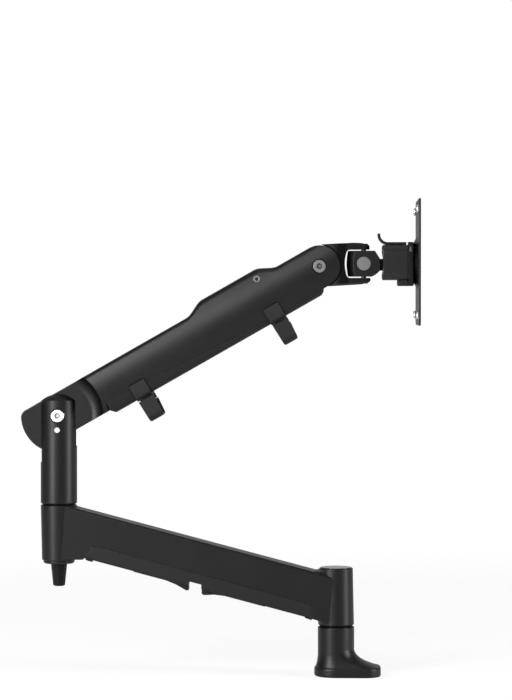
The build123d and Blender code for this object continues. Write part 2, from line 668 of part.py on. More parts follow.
def seam_tongue():
    """A ledge and a thin wall that stand behind the housing's lower edge along the seam."""
    start = CAVITY_START + SLIP + 1.0
    end = UPPER_LENGTH - HEAD_END_RADIUS - 6.0
    room = BODY_WALL + SLIP
    outer = arm_section(room, -UNDER_DEPTH, 0, 0)
    inner = arm_section(room + TONGUE_WALL, -UNDER_DEPTH - 1, 1, 0)

    def line(u, rise):
        share = min((u - UNDER_START) / (UNDER_SEAM_END - UNDER_START), 1.0)
        return (u, rise - SEAM - UNDER_RISE_AT_START - (BODY_LOW - UNDER_RISE_AT_START) * share)

    def strip(low, high):
        return side_prism(
            polygon(
                line(start, low),
                line(UNDER_SEAM_END, low),
                line(end, low),
                line(end, high),
                line(UNDER_SEAM_END, high),
                line(start, high),
            ),
            -BEYOND,
            BEYOND,
        )

    ledge_section = arm_section(UNDER_WALL - 0.6, -UNDER_DEPTH, 0, 0)
    ledge = along_arm(ledge_section, start, end) & strip(-1.4, -0.1)
    wall = along_arm(outer, start, end) & strip(-1.4, TONGUE_HEIGHT)
    return (ledge + wall) - along_arm(inner, start - 1, end + 1)


def under_cover():
    section = arm_section(0, -UNDER_DEPTH, 10, 0)
    section = fillet([v for v in section.vertices() if v.Y < 0], BODY_CORNER + 1)
    hollow = arm_section(UNDER_WALL, -UNDER_DEPTH + UNDER_WALL, 10, 0)
    hollow = fillet([v for v in hollow.vertices() if v.Y < 0], BODY_CORNER - 1)
    shell = side_prism(under_outline(0), -BEYOND, BEYOND) & along_arm(section, 0, UPPER_LENGTH)
    inside = along_arm(hollow, UNDER_START + UNDER_WALL + 2, UNDER_END - UNDER_WALL - 8)
    half = LINK_OUTER + 1.0
    inside += block(UNDER_START, UNDER_START + 10, -half, half, -LINK_DROP - LINK_HALF_HEIGHT - 1, 0)
    return shell - inside + seam_tongue()


# ---- Counterbalance: a gas strut drives a roller against a fixed cam

CAM_HALF = 2.0
CAM_HUB_RADIUS = 12.0
ROLLER_RADIUS = 5.0
ROLLER_HALF = 2.3
ROLLER_PIN_RADIUS = 2.0
ROLLER_U = 22.0  # roller's place on the arm at rest
STRUT_V = 6.0  # height of the strut's axis above the pivots' line
CAM_RATE = 9.0  # slider travel for each radian of lift
CAM_GAP = 0.15
SLIDER_START = 54.0
SLIDER_LENGTH = 18.0
SLIDER_HALF = 14.5
NOSE_HALF = 4.2
NOSE_HEIGHT = 9.0
ROD_RADIUS = 4.0
ROD_END = 150.0
CYLINDER_START = 98.0
CYLINDER_RADIUS = 9.5
CYLINDER_WALL = 1.3
GLAND_LENGTH = 8.0
ANCHOR_HALF = 11.0
ANCHOR_EAR = 6.0
ANCHOR_BACK = 5.0  # anchor to tension bolt
ANCHOR_GAP = 21.0  # cylinder to anchor, spanned by the tension screw
ANCHOR_END = TENSION_BOLT_U - ANCHOR_BACK
CYLINDER_END = ANCHOR_END - ANCHOR_GAP
TENSION_SCREW_RADIUS = 4.0
LINK_HALF_HEIGHT = 3.5
LINK_EYE_RADIUS = 5.2
LINK_INNER = 2.4
LINK_OUTER = 4.2
LINK_OPEN_CLEARANCE = 0.6

LINK_U = -LINK_DROP * math.sin(math.radians(UPPER_ANGLE))
LINK_V = -LINK_DROP * math.cos(math.radians(UPPER_ANGLE))


def roller_track(lift):
    """Where the roller's centre stands over the cam when the arm is lifted by an angle."""
    u = ROLLER_U - CAM_RATE * lift
    return (
        u * math.cos(lift) - STRUT_V * math.sin(lift),
        u * math.sin(lift) + STRUT_V * math.cos(lift),
    )


def cam():
    """A spiral cam that gives the slider the same travel for every degree of lift."""
    first = math.radians(-LIFT_DOWN - 6)
    last = math.radians(LIFT_UP + 6)
    steps = 10
    face_points = []
    for index in range(steps + 1):
        lift = first + (last - first) * index / steps
        before = roller_track(lift - 1e-4)
        after = roller_track(lift + 1e-4)
        run = (after[0] - before[0], after[1] - before[1])
        size = math.hypot(*run)
        centre = roller_track(lift)
        reach = ROLLER_RADIUS + CAM_GAP
        face_points.append((centre[0] - reach * run[1] / size, centre[1] + reach * run[0] / size))
    inward = math.hypot(*face_points[0]) < math.hypot(*roller_track(first))
    assert inward, "the cam face lies inside the roller's track"
    spiral = make_face([Spline(*face_points), Line(face_points[-1], (0, 0)), Line((0, 0), face_points[0])])
    ear = Pos(LINK_U, LINK_V) * Circle(LINK_EYE_RADIUS + 0.8)
    plate = side_prism(spiral + Circle(CAM_HUB_RADIUS) + ear, -CAM_HALF, CAM_HALF)
    plate -= crosswise(PIVOT_RADIUS, -5, 5)
    return plate - crosswise(LINK_PIN_RADIUS, -5, 5, LINK_U, LINK_V)


def cam_slider():
    middle = STRUT_V
    body = block(
        SLIDER_START, SLIDER_START + SLIDER_LENGTH, -SLIDER_HALF, SLIDER_HALF, middle - 8.5, middle + 9.5
    )
    body = fillet(body.edges().filter_by(Axis.X), 4.0)
    nose = side_prism(
        Pos((ROLLER_U + SLIDER_START) / 2, middle) * Rectangle(SLIDER_START - ROLLER_U + 1, NOSE_HEIGHT)
        + Pos(ROLLER_U, middle) * Circle(NOSE_HEIGHT / 2),
        -NOSE_HALF,
        NOSE_HALF,
    )
    room = ROLLER_RADIUS + 1.0
    slot_half = ROLLER_HALF + 0.2
    nose -= block(ROLLER_U - 9, ROLLER_U + room, -slot_half, slot_half, middle - 9, middle + 9)
    slider = body + nose
    slider -= crosswise(ROLLER_PIN_RADIUS, -6, 6, ROLLER_U, middle)
    return slider - lengthwise(ROD_RADIUS, SLIDER_START + 8, SLIDER_START + SLIDER_LENGTH, z=middle)


def strut():
    bore = CYLINDER_RADIUS - CYLINDER_WALL
    cylinder = lengthwise(CYLINDER_RADIUS, CYLINDER_START, CYLINDER_END, z=STRUT_V)
    cylinder = chamfer(cylinder.edges().filter_by(GeomType.CIRCLE), 0.8)
    cylinder -= lengthwise(bore, CYLINDER_START + GLAND_LENGTH, CYLINDER_END - 5, z=STRUT_V)
    cylinder -= lengthwise(ROD_RADIUS + RUN, CYLINDER_START, CYLINDER_START + GLAND_LENGTH, z=STRUT_V)
    rod = lengthwise(ROD_RADIUS, SLIDER_START + 8, ROD_END, z=STRUT_V)
    rod += lengthwise(bore - RUN, ROD_END - 6, ROD_END, z=STRUT_V)
    return cylinder, rod


def strut_anchor():
    low = STRUT_V - 9.5
    outline = polygon(
        (CYLINDER_END, low),
        (ANCHOR_END, low),
        (ANCHOR_END, STRUT_V + 9.5),
        (CYLINDER_END, STRUT_V + 9.5),
    )
    ear = polygon(
        (ANCHOR_END - 8, STRUT_V + 8.5),
        (ANCHOR_END, STRUT_V + 8.5),
        (TENSION_BOLT_U + 4.8, TENSION_BOLT_V - 5),
        (TENSION_BOLT_U + 4.8, TENSION_BOLT_V + 4.4),
        (TENSION_BOLT_U - 6, TENSION_BOLT_V + 4.4),
    )
    anchor = side_prism(outline, -ANCHOR_HALF, ANCHOR_HALF) + side_prism(ear, -ANCHOR_EAR, ANCHOR_EAR)
    anchor -= crosswise(TENSION_BOLT_RADIUS, -BEYOND, BEYOND, TENSION_BOLT_U, TENSION_BOLT_V)
    return anchor - lengthwise(TENSION_SCREW_RADIUS, CYLINDER_END, ANCHOR_END, z=STRUT_V)


def tension_screw():
    screw = lengthwise(TENSION_SCREW_RADIUS, CYLINDER_END, ANCHOR_END, z=STRUT_V)
    head = lengthwise(TENSION_SCREW_RADIUS + 2.2, ANCHOR_END, ANCHOR_END + 5, z=STRUT_V)
    socket = Pos(ANCHOR_END + 5, 0, STRUT_V) * extrude(Plane.YZ * RegularPolygon(2.9, 6), -3)
    return screw + head - socket


def anchor_bolt():
    half = BODY_HALF_WIDTH - 3.2
    bolt = crosswise(TENSION_BOLT_RADIUS, -half, half, TENSION_BOLT_U, TENSION_BOLT_V)
    socket = Pos(TENSION_BOLT_U, -half, TENSION_BOLT_V) * Rot(90, 0, 0) * extrude(RegularPolygon(1.9, 6), -2)
    return bolt - socket


def link_plates():
    """Two flat bars that keep the screen upright while the arm rises and falls."""
    outline = Pos(LINK_U + UPPER_LENGTH / 2, LINK_V) * Rectangle(UPPER_LENGTH, 2 * LINK_HALF_HEIGHT)
    for u in (LINK_U, LINK_U + UPPER_LENGTH):
        outline += Pos(u, LINK_V) * Circle(LINK_EYE_RADIUS)
    outline -= Pos(LINK_U, LINK_V) * Circle(LINK_PIN_RADIUS + RUN)
    outline -= Pos(LINK_U + UPPER_LENGTH, LINK_V) * Circle(LINK_PIN_RADIUS + LINK_OPEN_CLEARANCE)
    return side_prism(outline, -LINK_OUTER, -LINK_INNER) + side_prism(outline, LINK_INNER, LINK_OUTER)


def tail_bushes():
    ring = crosswise(PIVOT_RADIUS + RUN + TAIL_BUSH_WALL, TAIL_ROOM, FORK_SLOT / 2 - RUN)
    ring -= crosswise(PIVOT_RADIUS + RUN, TAIL_ROOM - 1, FORK_SLOT)
    return ring + mirror(ring, Plane.XZ)


# ---- Cable clips under the arm

CLIP_NEAR_PLACE = 82.0  # from the elbow pivot
CLIP_FAR_BACK = 59.5  # from the head pivot
CLIP_PLACES = (CLIP_NEAR_PLACE, UPPER_LENGTH - CLIP_FAR_BACK)
CLIP_WIDTH = 16.0
CLIP_FOOT_WIDTH = 13.0
CLIP_THICKNESS = 1.8
CLIP_PAD_TOP = -10.0
CLIP_LOW = -49.5
CLIP_LEG_HALF = 19.0
CLIP_LEG = 2.2
CLIP_CORNER = 6.0
CLIP_LEG_TOP = -27.6
CLIP_HINGE_Y = 17.6
CLIP_HINGE_V = -29.4
CLIP_KNUCKLE = 2.3
CLIP_PIN_RADIUS = 1.1
CLIP_KNUCKLE_WIDTH = 7.0


def clip_saddle(place):
    """A band that grips the flanks and passes under the cover, with hinge lugs."""
    outer = arm_section(-CLIP_THICKNESS, -UNDER_DEPTH - CLIP_THICKNESS, CLIP_PAD_TOP, 0)
    outer = fillet([v for v in outer.vertices() if v.Y < CLIP_PAD_TOP - 1], BODY_CORNER + 2)
    inner = arm_section(0, -UNDER_DEPTH, CLIP_PAD_TOP + 1, 0)
    inner = fillet([v for v in inner.vertices() if v.Y < CLIP_PAD_TOP - 1], BODY_CORNER + 0.9)
    half = CLIP_WIDTH / 2
    band = along_arm(outer, place - half, place + half) - along_arm(inner, place - half - 1, place + half + 1)
    lugs = lengthwise(CLIP_KNUCKLE, place - half, place + half, CLIP_HINGE_Y, CLIP_HINGE_V)
    lug_top = -UNDER_DEPTH - CLIP_THICKNESS + 0.5
    lugs += block(place - half, place + half, CLIP_HINGE_Y - 4, CLIP_HINGE_Y, CLIP_HINGE_V, lug_top)
    lugs += block(
        place - half,
        place + half,
        CLIP_HINGE_Y - CLIP_KNUCKLE,
        CLIP_HINGE_Y + CLIP_KNUCKLE - 1,
        CLIP_HINGE_V,
        CLIP_HINGE_V + 4.5,
    )
    lugs -= along_arm(inner, place - half - 1, place + half + 1)
    room = CLIP_KNUCKLE_WIDTH / 2 + SLIP
    reach = CLIP_KNUCKLE + SLIP
    gap = lengthwise(reach, place - room, place + room, CLIP_HINGE_Y, CLIP_HINGE_V)
    gap_low = CLIP_HINGE_V - 4
    gap += block(place - room, place + room, CLIP_HINGE_Y - 5, CLIP_HINGE_Y + 5, gap_low, CLIP_HINGE_V)
    saddle = band + lugs - gap
    return saddle - lengthwise(CLIP_PIN_RADIUS, place - half, place + half, CLIP_HINGE_Y, CLIP_HINGE_V)


def clip_gate(place):
    """A tapering loop that swings down on its hinge to take a cable."""
    span = 2 * CLIP_LEG_HALF
    height = CLIP_LEG_TOP - CLIP_LOW
    middle = (CLIP_LEG_TOP + CLIP_LOW) / 2
    outer = fillet((Pos(0, middle) * Rectangle(span, height)).vertices().group_by(Axis.Y)[0], CLIP_CORNER)
    inner = Pos(0, middle + CLIP_LEG) * Rectangle(span - 2 * CLIP_LEG, height)
    inner = fillet(inner.vertices().group_by(Axis.Y)[0], CLIP_CORNER - CLIP_LEG)
    loop = along_arm(outer - inner, place - CLIP_WIDTH, place + CLIP_WIDTH)
    half = CLIP_WIDTH / 2
    foot = CLIP_FOOT_WIDTH / 2
    side = polygon(
        (place - half + 0.5, CLIP_LEG_TOP + 1),
        (place + half + 1, CLIP_LEG_TOP + 1),
        (place + foot + 1, CLIP_LOW),
        (place - foot, CLIP_LOW),
    )
    side = rounded(side, 2.0, (place + foot + 1, CLIP_LOW), (place - foot, CLIP_LOW))
    loop &= side_prism(side, -BEYOND, BEYOND)
    clear = CLIP_KNUCKLE + SLIP
    loop -= block(
        place - half - 1,
        place + half + 2,
        CLIP_HINGE_Y - clear,
        CLIP_HINGE_Y + 5,
        CLIP_HINGE_V - clear,
        CLIP_LEG_TOP + 2,
    )
    wide = CLIP_KNUCKLE_WIDTH / 2
    knuckle = lengthwise(CLIP_KNUCKLE, place - wide, place + wide, CLIP_HINGE_Y, CLIP_HINGE_V)
    knuckle += block(
        place - wide,
        place + wide,
        CLIP_LEG_HALF - CLIP_LEG,
        CLIP_LEG_HALF,
        CLIP_HINGE_V - clear - 1,
        CLIP_HINGE_V,
    )
    gate = loop + knuckle
    hole = CLIP_PIN_RADIUS + RUN
    return gate - lengthwise(hole, place - half, place + half, CLIP_HINGE_Y, CLIP_HINGE_V)


def clip_pins():
    half = CLIP_WIDTH / 2
    pins = [
        lengthwise(CLIP_PIN_RADIUS, place - half, place + half, CLIP_HINGE_Y, CLIP_HINGE_V)
        for place in CLIP_PLACES
    ]
    return pins[0] + pins[1]


# ---- Head: yoke, swivel block, tilting head and screen plate

YOKE_GAP = 1.0
YOKE_HALF = 19.0
YOKE_NECK = 11.0  # half width where the prongs begin
PRONG_RADIUS = 6.5
PAN_FORWARD = 42.3  # head pivot to pan axis
TILT_RISE = 2.6  # tilt axis above the head pivot
PRONG_ROOM_HIGH = 13.6  # tilt axis to the prongs' inner faces
PRONG_THICKNESS = 6.2
YOKE_BACK = 25.8
YOKE_CORNER = 3.4
YOKE_HEIGHT = 40.2
YOKE_EDGE = 1.6
YOKE_TILT = 3.3  # the fork's top and bottom climb forward
YOKE_RISE = 1.85
YOKE_BULGE = 1.6  # bow of the wall behind the swivel block
PRONG_TAPER = 2.4
PRONG_NOSE = 2.6
PAN_PIN_RADIUS = 2.4
BLOCK_RADIUS = 15.4
BLOCK_HALF_HEIGHT = 12.3
BLOCK_HALF_WIDTH = 13.0
BLOCK_NOSE = 15.6
BLOCK_SWELL = 1.5
BLOCK_SHOULDER = 10.6
BLOCK_LOW_SHOULDER = 8.2
BLOCK_CHIN = 12.6
BLOCK_CHIN_DROP = 9.6
TONGUE_HALF = 6.5
EYE_RADIUS = 9.4
TILT_PIN_RADIUS = 4.0
TILT_HEAD_RADIUS = 6.5
NECK_HIGH = 4.6
NECK_LOW = 6.6
HEAD_BACK = 17.5  # tilt axis to the head's rear face
HEAD_DEPTH = 25.0
HEAD_HALF_WIDTH = 18.0
HEAD_HALF_HEIGHT = 16.8
HEAD_RISE = 1.0  # screen axis above the tilt axis
HEAD_CORNER = 7.0
DISH_RADIUS = 42.0
DISH_DEPTH = 1.3
LIP_BELOW = 5.6
LIP_START = 14.5
HEAD_FOOT_HALF = 12.0
SCREEN_BORE_DEPTH = 12.0
ADAPTER_THICKNESS = 5.0
ADAPTER_HALF_WIDTH = 20.0
SCREEN_SPINDLE_RADIUS = 6.0
SPACER_THICKNESS = 0.6
PLATE_SIZE = 120.0
PLATE_THICKNESS = 1.8
PLATE_CORNER = 8.0
EMBOSS_HEIGHT = 3.2
EMBOSS_RADIUS = 26.0
EMBOSS_TOP_RADIUS = 20.0
SCREEN_HOLE_RADIUS = 2.25
WIDE_PATTERN = 100.0
NARROW_PATTERN = 75.0
LEVER_THICKNESS = 2.5
LEVER_HALF = 9.0
LEVER_TAIL = 2.4
CURL_RADIUS = 7.2
CURL_START = 5.4  # head's rear face to the foot of the lever's curl
LEVER_PIN_RADIUS = 1.2
LEVER_KNUCKLE = 2.0

PAN_X = HEAD_X + PAN_FORWARD
TILT_Z = HEAD_Z + TILT_RISE
REAR_X = PAN_X + HEAD_BACK
FRONT_X = REAR_X + HEAD_DEPTH
SCREEN_Z = TILT_Z + HEAD_RISE
HEAD_TOP = SCREEN_Z + HEAD_HALF_HEIGHT
HEAD_LOW = SCREEN_Z - HEAD_HALF_HEIGHT
ADAPTER_FRONT = FRONT_X + ADAPTER_THICKNESS
EMBOSS_BACK = ADAPTER_FRONT + SPACER_THICKNESS
PLATE_BACK = EMBOSS_BACK + EMBOSS_HEIGHT
PLATE_FRONT = PLATE_BACK + PLATE_THICKNESS
LEVER_PIN_X = FRONT_X - 4.2
LEVER_PIN_Z = HEAD_TOP - 1.3


def bulge(depth, half_height):
    """The thin segment of a disc that stands behind a vertical line."""
    arc = ThreePointArc((0, half_height), (-depth, 0), (0, -half_height))
    rest = Polyline((0, -half_height), (1, -half_height), (1, half_height), (0, half_height))
    return make_face([arc, rest])


def yoke():
    """A fork that opens forward, with a round tongue between the arm's cheeks."""
    high = PRONG_ROOM_HIGH
    outer = high + PRONG_THICKNESS
    tip = PAN_FORWARD + PRONG_RADIUS
    outline = polygon(
        (0, TILT_RISE + outer + 1),
        (tip - 8.5, TILT_RISE + outer),
        (tip, TILT_RISE + outer - PRONG_TAPER),
        (tip, TILT_RISE + high),
        (YOKE_BACK, TILT_RISE + high),
        (YOKE_BACK, TILT_RISE - high),
        (tip, TILT_RISE - high),
        (tip, TILT_RISE - outer + PRONG_TAPER),
        (tip - 8.5, TILT_RISE - outer),
        (0, TILT_RISE - outer - 4),
    )
    outline = rounded(outline, YOKE_CORNER, (YOKE_BACK, TILT_RISE + high), (YOKE_BACK, TILT_RISE - high))
    for side in (-1, 1):
        outer_end = TILT_RISE + side * (outer - PRONG_TAPER)
        outline = rounded(outline, PRONG_NOSE, (tip, outer_end))
        outline = rounded(outline, 12.0, (tip - 8.5, TILT_RISE + side * outer))
        outline = rounded(outline, 1.0, (tip, TILT_RISE + side * high))
    outline -= Pos(YOKE_BACK, TILT_RISE) * bulge(YOKE_BULGE, high - YOKE_CORNER + 0.4)
    outline -= Circle(HEAD_END_RADIUS + YOKE_GAP)
    frame = Pos(HEAD_X, 0, HEAD_Z) * side_prism(outline, -YOKE_HALF, YOKE_HALF)
    plan = polygon(
        (HEAD_X, -YOKE_HALF),
        (HEAD_X + 17, -YOKE_HALF),
        (HEAD_X + YOKE_BACK + 1, -YOKE_NECK),
        (PAN_X, -PRONG_RADIUS),
        (PAN_X, PRONG_RADIUS),
        (HEAD_X + YOKE_BACK + 1, YOKE_NECK),
        (HEAD_X + 17, YOKE_HALF),
        (HEAD_X, YOKE_HALF),
    )
    plan = rounded(plan, 8.0, (HEAD_X + 17, -YOKE_HALF), (HEAD_X + 17, YOKE_HALF))
    plan += Pos(PAN_X, 0) * Circle(PRONG_RADIUS)
    crown = extrude(plan, YOKE_HEIGHT)
    for rim in (crown.faces().sort_by(Axis.Z)[-1], crown.faces().sort_by(Axis.Z)[0]):
        crown = chamfer(rim.edges(), YOKE_EDGE)
    middle = HEAD_X + PAN_FORWARD / 2
    crown = Pos(-middle, 0, -YOKE_HEIGHT / 2) * crown
    frame &= Pos(middle, 0, HEAD_Z + YOKE_RISE) * Rot(0, -YOKE_TILT, 0) * crown
    half = FORK_HALF - SLIP
    tongue = crosswise(HEAD_END_RADIUS - 1.0, -half, half, HEAD_X, HEAD_Z)
    bridge = Circle(HEAD_END_RADIUS + YOKE_GAP + 2)
    bridge &= polygon((0, 0), (4.4, 20.6), (30, 20.6), (30, -17.4), (7.6, -18.9))
    tongue += Pos(HEAD_X, 0, HEAD_Z) * side_prism(bridge, -half, half)
    slot = polygon((8, -30), (8, -9), (0, -8), (-7, -7), (-30, 2), (-30, -30))
    slot_half = LINK_OUTER + SLIP
    tongue -= Pos(HEAD_X, 0, HEAD_Z) * side_prism(slot, -slot_half, slot_half)
    body = frame + tongue
    body -= crosswise(PIVOT_RADIUS + RUN, -half, half, HEAD_X, HEAD_Z)
    body -= crosswise(LINK_PIN_RADIUS, -half, half, HEAD_X, HEAD_Z - LINK_DROP)
    body -= upright(PAN_PIN_RADIUS, TILT_Z - BEYOND, TILT_Z + BEYOND, PAN_X)
    for side in (-1, 1):
        low, high = sorted((side * (outer - 2.6), side * (outer + 5)))
        body -= upright(PAN_PIN_RADIUS + 1.6, TILT_Z + low, TILT_Z + high, PAN_X)
    return body


def pan_pins():
    outer = PRONG_ROOM_HIGH + PRONG_THICKNESS - 0.6
    pin = upright(PAN_PIN_RADIUS, TILT_Z + EYE_RADIUS + 0.6, TILT_Z + outer, PAN_X)
    pin += upright(PAN_PIN_RADIUS + 1.6, TILT_Z + outer - 2.0, TILT_Z + outer, PAN_X)
    pin -= Pos(PAN_X, 0, TILT_Z + outer) * extrude(RegularPolygon(1.5, 6), -1.4)
    other = Pos(0, 0, 2 * TILT_Z) * mirror(pin, Plane.XY)
    return pin + other


def barrel():
    """The block's back: a round bar that swells halfway up, to follow the yoke's bowed wall."""
    rim = BLOCK_RADIUS - 0.4
    edges = [
        ThreePointArc((rim, -BLOCK_HALF_HEIGHT), (rim + BLOCK_SWELL, 0), (rim, BLOCK_HALF_HEIGHT)),
        Line((rim, BLOCK_HALF_HEIGHT), (0, BLOCK_HALF_HEIGHT)),
        Line((0, BLOCK_HALF_HEIGHT), (0, -BLOCK_HALF_HEIGHT)),
        Line((0, -BLOCK_HALF_HEIGHT), (rim, -BLOCK_HALF_HEIGHT)),
    ]
    return revolve(Plane.XZ * make_face(edges), Axis.Z)


def swivel_block():
    """A round-backed block that pans in the yoke and forks round the tilting eye."""
    outline = polygon(
        (-BLOCK_RADIUS - 4, -BLOCK_HALF_HEIGHT),
        (BLOCK_LOW_SHOULDER, -BLOCK_HALF_HEIGHT),
        (BLOCK_CHIN, -BLOCK_CHIN_DROP),
        (BLOCK_NOSE, -NECK_LOW),
        (BLOCK_NOSE, NECK_HIGH),
        (BLOCK_SHOULDER, BLOCK_HALF_HEIGHT),
        (-BLOCK_RADIUS - 4, BLOCK_HALF_HEIGHT),
    )
    outline = rounded(outline, 2.0, (BLOCK_SHOULDER, BLOCK_HALF_HEIGHT))
    outline = rounded(outline, 4.0, (BLOCK_LOW_SHOULDER, -BLOCK_HALF_HEIGHT))
    solid = Pos(PAN_X, 0, TILT_Z) * side_prism(outline, -BLOCK_HALF_WIDTH, BLOCK_HALF_WIDTH)
    width, height = BLOCK_HALF_WIDTH, BLOCK_HALF_HEIGHT
    mouth = block(0, BLOCK_RADIUS + 4, -width, width, -height, height)
    solid &= Pos(PAN_X, 0, TILT_Z) * (barrel() + mouth)
    boss = PRONG_ROOM_HIGH - SLIP
    solid += upright(PAN_PIN_RADIUS + 1.8, TILT_Z - boss, TILT_Z + boss, PAN_X)
    slot_half = TONGUE_HALF + SLIP
    start = PAN_X - EYE_RADIUS - 0.6
    solid -= block(start, PAN_X + BEYOND, -slot_half, slot_half, TILT_Z - BEYOND, TILT_Z + BEYOND)
    core = PAN_PIN_RADIUS + 2.2
    for side in (-1, 1):
        low, high = sorted((side * (EYE_RADIUS + 0.4), side * BLOCK_HALF_HEIGHT))
        solid += Pos(PAN_X - 3, 0, TILT_Z + (low + high) / 2) * Box(core * 2 + 6, 2 * slot_half, high - low)
    solid -= upright(PAN_PIN_RADIUS + RUN, TILT_Z - 20, TILT_Z + 20, PAN_X) - upright(
        PAN_PIN_RADIUS + 1, TILT_Z - EYE_RADIUS, TILT_Z + EYE_RADIUS, PAN_X
    )
    solid -= crosswise(TILT_PIN_RADIUS, -BEYOND, BEYOND, PAN_X, TILT_Z)
    for side in (-1, 1):
        low, high = sorted((side * (BLOCK_HALF_WIDTH - 1.4), side * 20))
        solid -= crosswise(TILT_HEAD_RADIUS, low, high, PAN_X, TILT_Z)
    return solid


def tilt_pin():
    half = BLOCK_HALF_WIDTH - 1.4
    pin = crosswise(TILT_PIN_RADIUS, -half, half, PAN_X, TILT_Z)
    for side in (-1, 1):
        low, high = sorted((side * half, side * (BLOCK_HALF_WIDTH + 0.3)))
        pin += crosswise(TILT_HEAD_RADIUS, low, high, PAN_X, TILT_Z)
    return pin


def screen_head():
    """The tilting head: an eye, a short neck and a rounded box."""
    face = Pos(0, SCREEN_Z) * RectangleRounded(2 * HEAD_HALF_WIDTH, 2 * HEAD_HALF_HEIGHT, HEAD_CORNER)
    body = Pos(REAR_X, 0, 0) * extrude(Plane.YZ * face, HEAD_DEPTH)
    body = fillet(body.edges().group_by(Axis.X)[0], 1.6)
    body -= crosswise(DISH_RADIUS, -BEYOND, BEYOND, REAR_X + DISH_DEPTH - DISH_RADIUS, SCREEN_Z - HEAD_RISE)
    foot = block(REAR_X + LIP_START, FRONT_X, -HEAD_FOOT_HALF, HEAD_FOOT_HALF, HEAD_LOW - LIP_BELOW, SCREEN_Z)
    foot = fillet(foot.edges().filter_by(Axis.Y).group_by(Axis.Z)[0].group_by(Axis.X)[0], 1.5)
    body += foot
    eye = crosswise(EYE_RADIUS, -TONGUE_HALF, TONGUE_HALF, PAN_X, TILT_Z)
    neck = block(PAN_X, REAR_X + 4, -TONGUE_HALF, TONGUE_HALF, TILT_Z - NECK_LOW, TILT_Z + NECK_HIGH)
    body += eye + neck
    body -= crosswise(TILT_PIN_RADIUS + RUN, -BEYOND, BEYOND, PAN_X, TILT_Z)
    body -= lengthwise(SCREEN_SPINDLE_RADIUS + RUN, FRONT_X - SCREEN_BORE_DEPTH, FRONT_X, z=SCREEN_Z)
    half = LEVER_HALF + SLIP
    body -= block(LEVER_PIN_X - 3.0, LEVER_PIN_X + 3.0, -half, half, LEVER_PIN_Z - 2.4, HEAD_TOP + 1)
    return body - crosswise(LEVER_PIN_RADIUS, -half - 3, half + 3, LEVER_PIN_X, LEVER_PIN_Z)


def latch_lever():
    """A thumb lever: a flat plate over the head that curls up at its free end."""
    low = HEAD_TOP + SLIP
    high = low + LEVER_THICKNESS
    start = REAR_X + CURL_START
    centre = (start, high + CURL_RADIUS)
    ring = Pos(*centre) * (Circle(CURL_RADIUS + LEVER_THICKNESS) - Circle(CURL_RADIUS))
    quarter = 2 * CURL_RADIUS
    ring &= Pos(centre[0] - CURL_RADIUS, centre[1] - CURL_RADIUS) * Rectangle(quarter, quarter)
    tip = (centre[0] - CURL_RADIUS - LEVER_THICKNESS / 2, centre[1])
    ring += Pos(*tip) * Circle(LEVER_THICKNESS / 2)
    end = LEVER_PIN_X + LEVER_TAIL
    plate = Pos((start + end) / 2, (low + high) / 2) * Rectangle(end - start, LEVER_THICKNESS)
    knuckle = Pos(LEVER_PIN_X, LEVER_PIN_Z) * Circle(LEVER_KNUCKLE)
    knuckle += Pos(LEVER_PIN_X, (LEVER_PIN_Z + high) / 2) * Rectangle(3.0, high - LEVER_PIN_Z)
    lever = side_prism(ring + plate + knuckle, -LEVER_HALF, LEVER_HALF)
    return lever - crosswise(LEVER_PIN_RADIUS + RUN, -BEYOND, BEYOND, LEVER_PIN_X, LEVER_PIN_Z)


def lever_pin():
    half = LEVER_HALF + SLIP + 3
    return crosswise(LEVER_PIN_RADIUS, -half, half, LEVER_PIN_X, LEVER_PIN_Z)


BAR_LOW = HEAD_TOP - 6.6
BAR_HIGH = HEAD_TOP - 1.6


def adapter():
    """The quick-release plate that the latch holds on the head."""
    low = HEAD_LOW - LIP_BELOW
    high = HEAD_TOP + SLIP + LEVER_THICKNESS
    face = Pos(0, (low + high) / 2) * RectangleRounded(2 * ADAPTER_HALF_WIDTH, high - low, 4.0)
    plate = Pos(FRONT_X, 0, 0) * extrude(Plane.YZ * face, ADAPTER_THICKNESS)
    plate = chamfer(plate.edges().group_by(Axis.X)[-1], 0.8)
    plate -= lengthwise(SCREEN_SPINDLE_RADIUS + RUN, FRONT_X, ADAPTER_FRONT, z=SCREEN_Z)
    return plate - block(FRONT_X + 0.8, FRONT_X + 3.2, -BEYOND, BEYOND, BAR_LOW, BAR_HIGH)


def latch_bar():
    half = ADAPTER_HALF_WIDTH + 0.8
    return block(FRONT_X + 0.8, FRONT_X + 3.2, -half, half, BAR_LOW, BAR_HIGH)


def screen_spindle():
    seat = EMBOSS_BACK + PLATE_THICKNESS
    spindle = lengthwise(SCREEN_SPINDLE_RADIUS, FRONT_X - SCREEN_BORE_DEPTH, seat, z=SCREEN_Z)
    flange = lengthwise(SCREEN_SPINDLE_RADIUS + 4, seat, PLATE_FRONT - 0.4, z=SCREEN_Z)
    return spindle + flange


def spacer():
    ring = lengthwise(EMBOSS_TOP_RADIUS - 6, ADAPTER_FRONT, EMBOSS_BACK, z=SCREEN_Z)
    return ring - lengthwise(SCREEN_SPINDLE_RADIUS, ADAPTER_FRONT, EMBOSS_BACK, z=SCREEN_Z)


